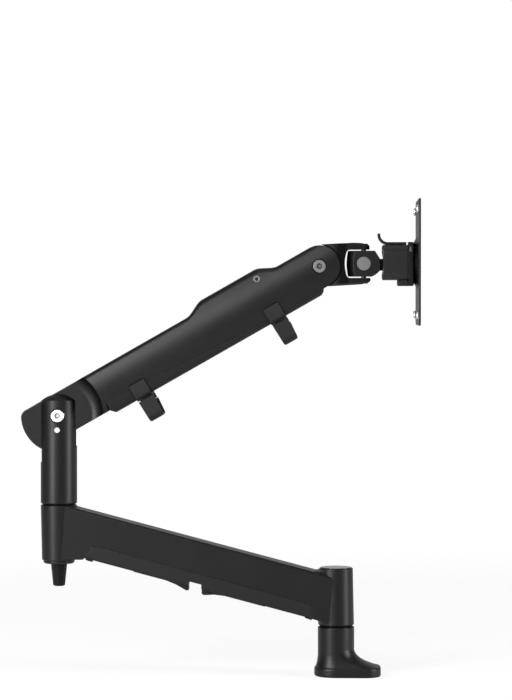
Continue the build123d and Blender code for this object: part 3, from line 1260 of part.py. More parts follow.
def screen_plate():
    """A square steel plate with a pressed centre and two square hole patterns."""
    square = Pos(0, SCREEN_Z) * RectangleRounded(PLATE_SIZE, PLATE_SIZE, PLATE_CORNER)
    plate = Pos(PLATE_BACK, 0, 0) * extrude(Plane.YZ * square, PLATE_THICKNESS)
    plate = fillet(plate.edges().group_by(Axis.X)[0], 0.5)
    rise = EMBOSS_HEIGHT
    middle = Pos(PLATE_BACK - rise / 2, 0, SCREEN_Z)
    emboss = middle * Rot(0, 90, 0) * Cone(EMBOSS_TOP_RADIUS, EMBOSS_RADIUS, rise)
    inner = Pos(PLATE_THICKNESS, 0, 0) * middle * Rot(0, 90, 0) * Cone(
        EMBOSS_TOP_RADIUS - 0.8, EMBOSS_RADIUS - 0.8, rise
    )
    plate = plate + emboss - inner
    plate -= lengthwise(SCREEN_SPINDLE_RADIUS, EMBOSS_BACK, PLATE_FRONT, z=SCREEN_Z)
    for pattern in (WIDE_PATTERN, NARROW_PATTERN):
        for y in (-pattern / 2, pattern / 2):
            for z in (SCREEN_Z - pattern / 2, SCREEN_Z + pattern / 2):
                plate -= lengthwise(SCREEN_HOLE_RADIUS, PLATE_BACK - 1, PLATE_FRONT + 1, y, z)
    return plate


# ---- Base and elbow running parts


def base_spindle():
    return upright(SPINDLE_RADIUS, SPINDLE_SEAT, BASE_POCKET_FLOOR)


def retainer():
    plate = upright(BUSH_RADIUS + 1.2, BASE_POCKET_FLOOR, BASE_POCKET_FLOOR + 2)
    head = upright(4.5, BASE_POCKET_FLOOR + 2, BASE_POCKET_FLOOR + 5)
    return plate + head - Pos(0, 0, BASE_POCKET_FLOOR + 5) * extrude(RegularPolygon(2.3, 6), -2)


def hub_cap():
    cap = upright(BASE_HUB_TOP_RADIUS - 1.0 - 0.1, BASE_HUB_TOP - CAP_THICKNESS, BASE_HUB_TOP + 0.4)
    return chamfer(cap.edges().group_by(Axis.Z)[-1], 0.3)


foot_body, pad_body = foot()
write("base_foot", foot_body)
write("base_pad", pad_body)
write("base_spindle", base_spindle())
write("base_washer", washer(POST_TOP))
write("base_retainer", retainer())
write("base_bushes", bush(BASE_HUB_LOW, BASE_HUB_LOW + BUSH_LENGTH)
      + bush(BASE_POCKET_FLOOR - BUSH_LENGTH, BASE_POCKET_FLOOR))
write("base_hub_cap", hub_cap())
write("lower_arm_casting", lower_arm())
write("lower_arm_cover", cover())
write("cable_lip_outer", lip(CABLE_GAP_LEFT, -1, LIP_LENGTH_OUTER))
write("cable_lip_inner", lip(CABLE_GAP_LEFT + CABLE_GAP_WIDTH, 1, LIP_LENGTH_INNER))
write("elbow_bushes", bush(ELBOW_HUB_LOW, ELBOW_HUB_LOW + BUSH_LENGTH, ELBOW_X)
      + bush(ELBOW_HUB_TOP - BUSH_LENGTH, ELBOW_HUB_TOP, ELBOW_X))
write("elbow_washer", washer(ELBOW_HUB_TOP, ELBOW_X))
write("elbow_post", elbow_post())
write("elbow_spindle", elbow_spindle())
write("elbow_collar", thrust_collar())
write("elbow_knob", friction_knob())
pivot_bolt, pivot_nut = cross_bolt(ELBOW_X, PIVOT_HEIGHT, PIVOT_HEAD_SEAT + 2, PIVOT_HEAD_SEAT + 2, 2.0)
write("pivot_bolt", pivot_bolt)
write("pivot_nut", pivot_nut)
write("link_pin", crosswise(LINK_PIN_RADIUS, -POST_RADIUS + 0.5, POST_RADIUS - 0.5, ELBOW_X,
                            PIVOT_HEIGHT - LINK_DROP))
write("lift_cam", lifted(cam()))
write("upper_housing", lifted(upper_housing()))
write("under_cover", lifted(under_cover()))
write("tail_bushes", lifted(tail_bushes()))
cylinder, rod = strut()
write("strut_cylinder", lifted(cylinder))
write("strut_rod", lifted(rod))
write("cam_slider", lifted(cam_slider()))
write("cam_roller", lifted(crosswise(ROLLER_RADIUS, -ROLLER_HALF, ROLLER_HALF, ROLLER_U, STRUT_V)
                           - crosswise(ROLLER_PIN_RADIUS + RUN, -9, 9, ROLLER_U, STRUT_V)))
write("roller_pin", lifted(crosswise(ROLLER_PIN_RADIUS, -NOSE_HALF, NOSE_HALF, ROLLER_U, STRUT_V)))
write("strut_anchor", lifted(strut_anchor()))
write("tension_screw", lifted(tension_screw()))
write("anchor_bolt", lifted(anchor_bolt()))
write("link_plates", lifted(link_plates()))
for index, place in enumerate(CLIP_PLACES, start=1):
    write(f"clip_saddle_{index}", lifted(clip_saddle(place)))
    write(f"clip_gate_{index}", lifted(clip_gate(place)))
write("clip_pins", lifted(clip_pins()))
head_bolt, head_nut = cross_bolt(UPPER_LENGTH, 0, HEAD_BOLT_SEAT + 2, HEAD_BOLT_SEAT + 2, 2.0)
write("head_bolt", lifted(head_bolt))
write("head_nut", lifted(head_nut))
write("head_yoke", yoke())
pin_half = FORK_HALF - SLIP
write("yoke_link_pin", crosswise(LINK_PIN_RADIUS, -pin_half, pin_half, HEAD_X, HEAD_Z - LINK_DROP))
write("pan_pins", pan_pins())
write("swivel_block", swivel_block())
write("tilt_pin", tilt_pin())
write("screen_head", screen_head())
write("latch_lever", latch_lever())
write("lever_pin", lever_pin())
write("quick_release", adapter())
write("latch_bar", latch_bar())
write("screen_spindle", screen_spindle())
write("screen_spacer", spacer())
write("screen_plate", screen_plate())
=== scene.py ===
import json
import math

import bmesh
import bpy
from bpy.props import FloatProperty, FloatVectorProperty, IntProperty, PointerProperty
from mathutils import Matrix, Vector


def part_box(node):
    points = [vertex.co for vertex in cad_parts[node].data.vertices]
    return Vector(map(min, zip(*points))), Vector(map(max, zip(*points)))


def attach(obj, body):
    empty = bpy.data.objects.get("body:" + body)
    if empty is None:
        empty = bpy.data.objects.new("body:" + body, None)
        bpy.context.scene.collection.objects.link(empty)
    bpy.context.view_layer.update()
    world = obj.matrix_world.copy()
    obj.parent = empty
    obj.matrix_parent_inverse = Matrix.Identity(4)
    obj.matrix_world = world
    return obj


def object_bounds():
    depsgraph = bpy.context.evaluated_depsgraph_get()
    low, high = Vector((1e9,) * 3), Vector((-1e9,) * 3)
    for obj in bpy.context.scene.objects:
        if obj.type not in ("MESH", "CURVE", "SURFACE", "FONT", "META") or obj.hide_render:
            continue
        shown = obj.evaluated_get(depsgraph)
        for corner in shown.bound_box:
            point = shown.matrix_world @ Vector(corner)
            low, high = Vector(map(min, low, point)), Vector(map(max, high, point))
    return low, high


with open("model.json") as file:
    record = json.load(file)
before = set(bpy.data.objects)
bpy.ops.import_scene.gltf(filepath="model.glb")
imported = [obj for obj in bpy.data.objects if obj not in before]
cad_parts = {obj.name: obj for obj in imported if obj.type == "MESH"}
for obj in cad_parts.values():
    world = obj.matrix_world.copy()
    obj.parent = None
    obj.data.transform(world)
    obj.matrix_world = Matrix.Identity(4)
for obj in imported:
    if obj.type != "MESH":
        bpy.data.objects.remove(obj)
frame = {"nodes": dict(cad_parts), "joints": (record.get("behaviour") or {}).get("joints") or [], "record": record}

bl_info = {
    "name": "Monitor arm",
    "version": (1, 0, 0),
    "blender": (4, 5, 0),
    "location": "3D View > Sidebar > Monitor arm",
    "description": "Finishes for the monitor arm, its screen screws, and a plain studio",
    "category": "Object",
}

CAD_LOW, CAD_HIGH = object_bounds()
NODES = frame["nodes"]
SLOTS = {}
for entry in frame["record"]["subparts"]:
    SLOTS.setdefault(entry["material_slot"], []).append(entry["node"])
HINGES = [joint for joint in frame["joints"] if joint["type"] == "hinge"]
PIVOTS = {joint["name"]: Vector(joint["pos_m"]) for joint in HINGES}
WIDE_HOLES = next(m for m in frame["record"]["mounts"] if m["name"] == "screen_wide")
MM = 0.001
WHITE = (1.0, 1.0, 1.0, 1.0)


# ---- Shader groups shared by several finishes

# Scales of noise, in cycles per metre
DRIFT_SCALE = 22.0
RUB_AND_HIGHLIGHT_SCALE = 140.0
DUST_SCALE = 60.0
MARK_SCALE = (3200.0, 260.0, 3200.0)  # finer across the marks than along them
RUB_AND_HIGHLIGHT_GAIN = 6.0  # how fast the paler edge band, partly rub wear and partly painted highlight, shows as the rounded normal turns away
CAVITY_SPAN = (0.12, 0.6)  # occlusion at which the shade starts, and at which it is full


def new_group(name, inputs, outputs):
    """An empty shader node group with its sockets, given as (name, type, default)."""
    tree = bpy.data.node_groups.new(name, "ShaderNodeTree")
    for label, kind, default in inputs:
        socket = tree.interface.new_socket(label, in_out="INPUT", socket_type=kind)
        socket.default_value = default
    for label, kind in outputs:
        tree.interface.new_socket(label, in_out="OUTPUT", socket_type=kind)
    return tree, tree.nodes.new("NodeGroupInput"), tree.nodes.new("NodeGroupOutput")


def math_node(tree, operation, first, second, clamp=False):
    """A Math node; each operand is a socket or a number."""
    node = tree.nodes.new("ShaderNodeMath")
    node.operation = operation
    node.use_clamp = clamp
    for index, operand in enumerate((first, second)):
        if isinstance(operand, (int, float)):
            node.inputs[index].default_value = operand
        else:
            tree.links.new(operand, node.inputs[index])
    return node.outputs[0]


def eased(tree, value, low, high):
    """A socket's value, eased from 0 at low to 1 at high."""
    node = tree.nodes.new("ShaderNodeMapRange")
    node.interpolation_type = "SMOOTHSTEP"
    node.inputs["From Min"].default_value = low
    node.inputs["From Max"].default_value = high
    tree.links.new(value, node.inputs["Value"])
    return node.outputs["Result"]


def object_place(tree):
    """The shaded point in its own object's space."""
    return tree.nodes.new("ShaderNodeTexCoord").outputs["Object"]


def scaled_vector(tree, vector, factor):
    """A vector or colour times a socket or a number."""
    node = tree.nodes.new("ShaderNodeVectorMath")
    node.operation = "SCALE"
    tree.links.new(vector, node.inputs[0])
    if isinstance(factor, (int, float)):
        node.inputs["Scale"].default_value = factor
    else:
        tree.links.new(factor, node.inputs["Scale"])
    return node.outputs[0]


def noise(tree, vector, scale, detail):
    """Soft noise from 0 to 1 over a vector."""
    node = tree.nodes.new("ShaderNodeTexNoise")
    node.inputs["Scale"].default_value = scale
    node.inputs["Detail"].default_value = detail
    tree.links.new(vector, node.inputs["Vector"])
    return node.outputs["Fac"]


def mixed_colour(tree, factor, first, second):
    """The first colour at factor 0, the second at 1."""
    node = tree.nodes.new("ShaderNodeMix")
    node.data_type = "RGBA"
    tree.links.new(factor, node.inputs["Factor"])
    tree.links.new(first, node.inputs["A"])
    tree.links.new(second, node.inputs["B"])
    return node.outputs["Result"]


def grain_group():
    """Fine surface grain with a slow drift of tone and gloss."""
    tree, given, made = new_group(
        "Fine grain",
        [
            ("Colour", "NodeSocketColor", (0.02, 0.02, 0.02, 1.0)),
            ("Contrast", "NodeSocketFloat", 0.2),
            ("Grains per metre", "NodeSocketFloat", 1200.0),
            ("Roughness", "NodeSocketFloat", 0.45),
            ("Roughness spread", "NodeSocketFloat", 0.05),
        ],
        [("Colour", "NodeSocketColor"), ("Roughness", "NodeSocketFloat"), ("Height", "NodeSocketFloat")],
    )
    place = object_place(tree)
    fine = noise(tree, scaled_vector(tree, place, given.outputs["Grains per metre"]), 1.0, 2.0)
    slow = noise(tree, place, DRIFT_SCALE, 3.0)
    centred = math_node(tree, "SUBTRACT", fine, 0.5)
    swing = math_node(tree, "MULTIPLY", centred, given.outputs["Contrast"])
    drift = math_node(tree, "SUBTRACT", slow, 0.5)
    drift_swing = math_node(tree, "MULTIPLY", drift, given.outputs["Contrast"])
    level = math_node(tree, "ADD", math_node(tree, "ADD", swing, drift_swing), 1.0)
    tree.links.new(scaled_vector(tree, given.outputs["Colour"], level), made.inputs["Colour"])
    gloss = math_node(tree, "MULTIPLY", drift, given.outputs["Roughness spread"])
    gloss = math_node(tree, "MULTIPLY", gloss, 2.0)
    roughness = math_node(tree, "ADD", given.outputs["Roughness"], gloss, True)
    tree.links.new(roughness, made.inputs["Roughness"])
    tree.links.new(fine, made.inputs["Height"])
    return tree


def edge_rub_and_highlight_group():
    """Softened edges: a rounded normal, and a paler band along the corners that is partly rub wear and partly
    painted highlight.
    """
    tree, given, made = new_group(
        "Rubbed edges",
        [
            ("Colour", "NodeSocketColor", (0.02, 0.02, 0.02, 1.0)),
            ("Edge colour", "NodeSocketColor", (0.08, 0.08, 0.08, 1.0)),
            ("Width", "NodeSocketFloat", 0.0006),
            ("Strength", "NodeSocketFloat", 0.5),
        ],
        [("Colour", "NodeSocketColor"), ("Normal", "NodeSocketVector")],
    )
    bevel = tree.nodes.new("ShaderNodeBevel")
    bevel.samples = 4
    tree.links.new(given.outputs["Width"], bevel.inputs["Radius"])
    surface = tree.nodes.new("ShaderNodeNewGeometry")
    dot = tree.nodes.new("ShaderNodeVectorMath")
    dot.operation = "DOT_PRODUCT"
    tree.links.new(bevel.outputs["Normal"], dot.inputs[0])
    tree.links.new(surface.outputs["Normal"], dot.inputs[1])
    # The paler band where the rounded normal turns away is partly rub wear and partly painted highlight along the
    # corners
    turned = math_node(tree, "SUBTRACT", 1.0, dot.outputs["Value"])
    turned = math_node(tree, "MULTIPLY", turned, RUB_AND_HIGHLIGHT_GAIN, True)
    patchy = noise(tree, object_place(tree), RUB_AND_HIGHLIGHT_SCALE, 3.0)
    mask = math_node(tree, "MULTIPLY", turned, patchy)
    mask = math_node(tree, "MULTIPLY", mask, given.outputs["Strength"], True)
    colour = mixed_colour(tree, mask, given.outputs["Colour"], given.outputs["Edge colour"])
    tree.links.new(colour, made.inputs["Colour"])
    tree.links.new(bevel.outputs["Normal"], made.inputs["Normal"])
    return tree


def dust_group():
    """A thin film of dust that settles on what faces up."""
    tree, given, made = new_group(
        "Settled dust",
        [
            ("Colour", "NodeSocketColor", (0.02, 0.02, 0.02, 1.0)),
            ("Dust colour", "NodeSocketColor", (0.25, 0.24, 0.23, 1.0)),
            ("Amount", "NodeSocketFloat", 0.05),
        ],
        [("Colour", "NodeSocketColor")],
    )
    surface = tree.nodes.new("ShaderNodeNewGeometry")
    parts = tree.nodes.new("ShaderNodeSeparateXYZ")
    tree.links.new(surface.outputs["Normal"], parts.inputs[0])
    up = math_node(tree, "MAXIMUM", parts.outputs["Z"], 0.0)
    patches = noise(tree, object_place(tree), DUST_SCALE, 4.0)
    film = math_node(tree, "MULTIPLY", up, patches)
    film = math_node(tree, "MULTIPLY", film, given.outputs["Amount"], True)
    colour = mixed_colour(tree, film, given.outputs["Colour"], given.outputs["Dust colour"])
    tree.links.new(colour, made.inputs["Colour"])
    return tree


def streak_group():
    """Fine tool marks drawn out across the piece's width."""
    tree, given, made = new_group(
        "Tool marks",
        [
            ("Colour", "NodeSocketColor", (0.7, 0.7, 0.7, 1.0)),
            ("Contrast", "NodeSocketFloat", 0.15),
            ("Roughness", "NodeSocketFloat", 0.25),
            ("Roughness spread", "NodeSocketFloat", 0.08),
        ],
        [("Colour", "NodeSocketColor"), ("Roughness", "NodeSocketFloat"), ("Height", "NodeSocketFloat")],
    )
    place = object_place(tree)
    drawn = tree.nodes.new("ShaderNodeVectorMath")
    drawn.operation = "MULTIPLY"
    drawn.inputs[1].default_value = MARK_SCALE
    tree.links.new(place, drawn.inputs[0])
    marks = noise(tree, drawn.outputs[0], 1.0, 2.0)
    centred = math_node(tree, "SUBTRACT", marks, 0.5)
    swing = math_node(tree, "MULTIPLY", centred, given.outputs["Contrast"])
    level = math_node(tree, "ADD", swing, 1.0)
    tree.links.new(scaled_vector(tree, given.outputs["Colour"], level), made.inputs["Colour"])
    gloss = math_node(tree, "MULTIPLY", centred, given.outputs["Roughness spread"])
    roughness = math_node(tree, "ADD", given.outputs["Roughness"], gloss, True)
    tree.links.new(roughness, made.inputs["Roughness"])
    tree.links.new(marks, made.inputs["Height"])
    return tree


def cavity_group():
    """Darkens the inside of sockets, seams and narrow grooves."""
    tree, given, made = new_group(
        "Shaded cavities",
        [
            ("Colour", "NodeSocketColor", (0.7, 0.7, 0.7, 1.0)),
            ("Reach", "NodeSocketFloat", 0.003),
            ("Darkness", "NodeSocketFloat", 0.8),
        ],
        [("Colour", "NodeSocketColor"), ("Mask", "NodeSocketFloat")],
    )
    shade = tree.nodes.new("ShaderNodeAmbientOcclusion")
    shade.samples = 8
    tree.links.new(given.outputs["Reach"], shade.inputs["Distance"])
    deep = eased(tree, math_node(tree, "SUBTRACT", 1.0, shade.outputs["AO"]), *CAVITY_SPAN)
    mask = math_node(tree, "MULTIPLY", deep, given.outputs["Darkness"], True)
    level = math_node(tree, "SUBTRACT", 1.0, mask)
    tree.links.new(scaled_vector(tree, given.outputs["Colour"], level), made.inputs["Colour"])
    tree.links.new(mask, made.inputs["Mask"])
    return tree


GROUP_MAKERS = {
    "Shaded cavities": cavity_group,
    "Fine grain": grain_group,
    "Rubbed edges": edge_rub_and_highlight_group,
    "Settled dust": dust_group,
    "Tool marks": streak_group,
}


def placed_group(material, name, **values):
    """One of the shared groups, placed in a material with its own values."""
    tree = bpy.data.node_groups.get(name) or GROUP_MAKERS[name]()
    node = material.node_tree.nodes.new("ShaderNodeGroup")
    node.node_tree = tree
    for key, value in values.items():
        label = key.replace("_", " ")
        node.inputs[label].default_value = (*value, 1.0) if hasattr(value, "__len__") else value
    return node


def new_material(name):
    """A material with its Principled shader."""
    material = bpy.data.materials.new(name)
    material.use_nodes = True
    return material, material.node_tree.nodes["Principled BSDF"]


def bumped(material, shader, height, normal, strength, distance):
    """Raises a height over a normal and gives the result to the shader."""
    links = material.node_tree.links
    bump = material.node_tree.nodes.new("ShaderNodeBump")
    bump.inputs["Strength"].default_value = strength
    bump.inputs["Distance"].default_value = distance
    links.new(height, bump.inputs["Height"])
    links.new(normal, bump.inputs["Normal"])
    links.new(bump.outputs["Normal"], shader.inputs["Normal"])


def grained_finish(name, colour, rub_and_highlight_colour, *, roughness, grains, depth, gloss, edge_width, dust=0.0):
    """Paint, plastic or rubber: grain, softened edges with a paler band that is partly rub wear and partly painted
    highlight, a little dust, and painted shade in cavities.
    """
    material, shader = new_material(name)
    links = material.node_tree.links
    grain = placed_group(
        material, "Fine grain", Colour=colour, Contrast=0.35, Grains_per_metre=grains,
        Roughness=roughness, Roughness_spread=0.06,
    )
    edges = placed_group(
        material, "Rubbed edges", Edge_colour=rub_and_highlight_colour, Width=edge_width, Strength=0.6)
    film = placed_group(material, "Settled dust", Amount=dust)
    links.new(grain.outputs["Colour"], edges.inputs["Colour"])
    links.new(edges.outputs["Colour"], film.inputs["Colour"])
    cavities = placed_group(material, "Shaded cavities", Reach=0.0025, Darkness=0.9)
    links.new(film.outputs["Colour"], cavities.inputs["Colour"])
    links.new(cavities.outputs["Colour"], shader.inputs["Base Color"])
    links.new(grain.outputs["Roughness"], shader.inputs["Roughness"])
    open_face = math_node(material.node_tree, "SUBTRACT", 1.0, cavities.outputs["Mask"])
    level = math_node(material.node_tree, "MULTIPLY", open_face, gloss)
    links.new(level, shader.inputs["Specular IOR Level"])
    bumped(
        material, shader, grain.outputs["Height"], edges.outputs["Normal"], strength=0.35, distance=depth)
    return material


def turned_finish(name, colour, *, roughness, depth, edge_width):
    """Turned or brushed metal with tool marks."""
    material, shader = new_material(name)
    links = material.node_tree.links
    marks = placed_group(
        material, "Tool marks", Colour=colour, Contrast=0.3, Roughness=roughness, Roughness_spread=0.12
    )
    # A paler band along the metal's edges: partly rub wear, partly painted highlight
    rub_and_highlight_tint = tuple(min(1.0, part * 1.25) for part in colour)
    edges = placed_group(material, "Rubbed edges", Edge_colour=rub_and_highlight_tint, Width=edge_width, Strength=0.8)
    links.new(marks.outputs["Colour"], edges.inputs["Colour"])
    cavities = placed_group(material, "Shaded cavities", Reach=0.003, Darkness=0.85)
    links.new(edges.outputs["Colour"], cavities.inputs["Colour"])
    links.new(cavities.outputs["Colour"], shader.inputs["Base Color"])
    links.new(marks.outputs["Roughness"], shader.inputs["Roughness"])
    shader.inputs["Metallic"].default_value = 1.0
    bumped(
        material, shader, marks.outputs["Height"], edges.outputs["Normal"], strength=0.25, distance=depth)
    return material


def dress(names, material):
    """Gives CAD nodes a finish in their object's own slots."""
    for name in names:
        piece = NODES[name]
        if not piece.material_slots:
            piece.data.materials.append(None)
        for slot in piece.material_slots:
            slot.link = "OBJECT"
            slot.material = material


# ---- Sizes and colours that a user would change


class ArmFinishes(bpy.types.PropertyGroup):
    coat_colour: FloatVectorProperty(
        name="Coat colour", description="Satin powder coat on the cast pieces", subtype="COLOR",
        size=3, min=0.0, max=1.0, default=(0.001, 0.001, 0.00105))
    # The same powder coat made lighter on the yoke and screen head: painted light where they lie in shade near the
    # screen plate
    head_painted_light_colour: FloatVectorProperty(
        name="Head painted light colour", description="Coat on the yoke and the screen head", subtype="COLOR",
        size=3, min=0.0, max=1.0, default=(0.008, 0.008, 0.0083))
    coat_roughness: FloatProperty(
        name="Coat roughness", description="How soft the powder coat's highlights are",
        subtype="FACTOR",
        min=0.0, max=1.0, default=0.4)
    coat_grain: FloatProperty(
        name="Coat grain", description="Depth of the powder coat's orange peel", subtype="DISTANCE",
        unit="LENGTH", min=0.0, default=0.000018)
    plastic_colour: FloatVectorProperty(
        name="Plastic colour", description="Moulded covers, clips, lever and knob", subtype="COLOR",
        size=3, min=0.0, max=1.0, default=(0.0015, 0.0015, 0.0016))
    plastic_roughness: FloatProperty(
        name="Plastic roughness", description="How matte the moulded pieces are", subtype="FACTOR",
        min=0.0, max=1.0, default=0.5)
    clip_colour: FloatVectorProperty(
        name="Clip colour", description="The paler pads of the cable clips", subtype="COLOR",
        size=3, min=0.0, max=1.0, default=(0.006, 0.006, 0.0063))
    # Colour of the paler band along corners: partly rub wear from handling, partly painted highlight
    rub_and_highlight_colour: FloatVectorProperty(
        name="Rubbed edge and highlight colour", description="Where handling has polished the corners",
        subtype="COLOR",
        size=3, min=0.0, max=1.0, default=(0.022, 0.022, 0.023))
    steel_colour: FloatVectorProperty(
        name="Steel colour", description="Bright screws, pins and spindles", subtype="COLOR",
        size=3, min=0.0, max=1.0, default=(0.78, 0.78, 0.77))
    satin_colour: FloatVectorProperty(
        name="Satin steel colour", description="Pivot faces, tension bolt and cast metal",
        subtype="COLOR",
        size=3, min=0.0, max=1.0, default=(0.2, 0.2, 0.2))
    dull_colour: FloatVectorProperty(
        name="Dull steel colour", description="Latch bar of the quick release", subtype="COLOR",
        size=3, min=0.0, max=1.0, default=(0.11, 0.11, 0.11))
    rubber_colour: FloatVectorProperty(
        name="Rubber colour", description="The pad under the foot", subtype="COLOR",
        size=3, min=0.0, max=1.0, default=(0.006, 0.006, 0.006))
    bearing_colour: FloatVectorProperty(
        name="Bearing colour", description="Bushes and thrust washers", subtype="COLOR",
        size=3, min=0.0, max=1.0, default=(0.012, 0.012, 0.012))


class ScreenScrewSizes(bpy.types.PropertyGroup):
    head_radius: FloatProperty(
        name="Head radius", description="Radius of the pan head", subtype="DISTANCE", unit="LENGTH",
        min=0.001, default=0.0038)
    head_height: FloatProperty(
        name="Head height", description="Height of the pan head above the plate",
        subtype="DISTANCE",
        unit="LENGTH", min=0.0005, default=0.0024)
    shank_radius: FloatProperty(
        name="Shank radius", description="Outer radius of the thread", subtype="DISTANCE",
        unit="LENGTH",
        min=0.001, default=0.002)
    recess_depth: FloatProperty(
        name="Recess depth", description="Depth of the cross recess", subtype="DISTANCE",
        unit="LENGTH",
        min=0.0002, default=0.0015)
    plate_thickness: FloatProperty(
        name="Plate thickness", description="Thickness of the plate under the screw heads",
        subtype="DISTANCE", unit="LENGTH", min=0.0005, default=0.0018)
    turns: IntProperty(
        name="Segments", description="Segments round the head", min=12, default=40)


# Sizes of the thin dark sheet of painted shade behind the seam at the under cover's nose, not a real gasket
class ShadeSheetSizes(bpy.types.PropertyGroup):
    start_back: FloatProperty(
        name="Start", description="From the head pivot back to the gasket's far end",
        subtype="DISTANCE",
        unit="LENGTH", min=0.001, default=0.0272)
    end_back: FloatProperty(
        name="End", description="From the head pivot back to the gasket's near end",
        subtype="DISTANCE",
        unit="LENGTH", min=0.0005, default=0.0078)
    half_width: FloatProperty(
        name="Half width", description="Half the gasket's width", subtype="DISTANCE", unit="LENGTH",
        min=0.001, default=0.0166)
    corner: FloatProperty(
        name="Corner", description="Cut at the gasket's corners", subtype="DISTANCE", unit="LENGTH",
        min=0.0001, default=0.0015)
    depth: FloatProperty(
        name="Depth", description="Gasket's lower face below the line of the pivots",
        subtype="DISTANCE",
        unit="LENGTH", min=0.001, default=0.02053)
    thickness: FloatProperty(
        name="Thickness", description="Thickness of the gasket", subtype="DISTANCE", unit="LENGTH",
        min=0.0001, default=0.00021)


class StudioSettings(bpy.types.PropertyGroup):
    floor_colour: FloatVectorProperty(
        name="Floor colour", description="The plain pale floor", subtype="COLOR", size=3, min=0.0,
        max=1.0, default=(0.9, 0.9, 0.9))
    floor_white: FloatProperty(
        name="Floor white", description="How far the eye sees the floor as white near the arm",
        subtype="FACTOR", min=0.0, max=1.0, default=0.84)
    floor_mirrored: FloatProperty(
        name="Floor in reflections", description="Share of the floor's white that reflections meet",
        subtype="FACTOR", min=0.0, max=1.0, default=0.3)
    shadow_reach: FloatProperty(
        name="Shadow reach", description="Where the floor has faded to white", subtype="DISTANCE",
        unit="LENGTH", min=0.1, default=1.4)
    wall_share: FloatProperty(
        name="Wall in reflections",
        description="Share of the white wall that reflections meet behind",
        subtype="FACTOR", min=0.0, max=1.0, default=0.55)
    ceiling_share: FloatProperty(
        name="Ceiling in reflections",
        description="Share of the white ceiling that reflections meet above",
        subtype="FACTOR", min=0.0, max=1.0, default=0.3)
    ambient: FloatProperty(
        name="Ambient", description="Strength of the even light from all round", min=0.0,
        default=0.25)
    mirrored_room: FloatProperty(
        name="Room in reflections",
        description="Strength of the dim room that reflections meet in front",
        min=0.0, default=0.08)
    key_power: FloatProperty(
        name="Key power", description="The tall soft light at the front left", unit="POWER",
        min=0.0, default=72.0)
    front_power: FloatProperty(
        name="Front power", description="The soft light above the camera", unit="POWER",
        min=0.0, default=8.5)
    side_power: FloatProperty(
        name="Side power", description="The soft light at the right", unit="POWER", min=0.0,
        default=58.0)
    top_power: FloatProperty(
        name="Top power", description="The soft light overhead", unit="POWER", min=0.0, default=6.0)
    camera_place: FloatVectorProperty(
        name="Camera place", description="Where the camera stands", subtype="XYZ",
        unit="LENGTH", size=3,
        default=(0.003, -2.6, 0.361))
    camera_target: FloatVectorProperty(
        name="Camera target", description="The point that the camera faces", subtype="XYZ",
        unit="LENGTH",
        size=3, default=(-0.077, 0.0, 0.313))
    camera_angle: FloatProperty(
        name="Camera angle", description="The camera's vertical field of view", subtype="ANGLE",
        unit="ROTATION", default=math.radians(14.73))


# ---- Operators: finishes


class ARM_OT_coat_castings(bpy.types.Operator):
    """Give the cast pieces their satin powder coat"""
    bl_idname = "monitor_arm.coat_castings"
    bl_label = "Coat castings"

    def execute(self, context):
        look = context.scene.arm_finishes
        powder = {
            "roughness": look.coat_roughness, "grains": 900.0, "depth": look.coat_grain,
            "gloss": 0.27, "edge_width": 0.0009, "dust": 0.006,
        }
        coat = grained_finish("Satin powder coat", look.coat_colour, look.rub_and_highlight_colour, **powder)
        dress(SLOTS["powder_black"], coat)
        # A lighter copy of the powder coat on the yoke and screen head, painted light in place of the lamp light
        # that the screen plate blocks
        head = grained_finish("Head coat", look.head_painted_light_colour, look.rub_and_highlight_colour, **powder)
        dress(["screen_head", "head_yoke"], head)
        cap = grained_finish(
            "Cap enamel", look.coat_colour, look.rub_and_highlight_colour, roughness=look.coat_roughness * 0.35,
            grains=700.0, depth=look.coat_grain, gloss=0.8, edge_width=0.0004, dust=0.006)
        dress(SLOTS["cap_grey"], cap)
        return {"FINISHED"}


class ARM_OT_mould_plastics(bpy.types.Operator):
    """Give the covers, clips, lips, lever and knob their moulded grain"""
    bl_idname = "monitor_arm.mould_plastics"
    bl_label = "Mould plastics"

    def execute(self, context):
        look = context.scene.arm_finishes
        moulded = {
            "roughness": look.plastic_roughness, "grains": 1600.0, "depth": look.coat_grain * 0.8,
        }
        plastic = grained_finish(
            "Moulded plastic", look.plastic_colour, look.rub_and_highlight_colour, gloss=0.27, edge_width=0.0007,
            dust=0.006, **moulded)
        dress(SLOTS["black_plastic"], plastic)
        knob = grained_finish(
            "Knob plastic", look.plastic_colour, look.rub_and_highlight_colour, gloss=0.13, edge_width=0.0007,
            dust=0.006, **moulded)
        dress(["elbow_knob"], knob)
        pads = grained_finish(
            "Clip plastic", look.clip_colour, look.rub_and_highlight_colour, gloss=0.3, edge_width=0.0006,
            dust=0.01, **moulded)
        dress(["clip_saddle_1", "clip_saddle_2"], pads)
        bearing = grained_finish(
            "Bearing plastic", look.bearing_colour, look.rub_and_highlight_colour, roughness=0.4, grains=2200.0,
            depth=look.coat_grain * 0.3, gloss=0.4, edge_width=0.0002)
        dress(SLOTS["bearing_plastic"], bearing)
        return {"FINISHED"}


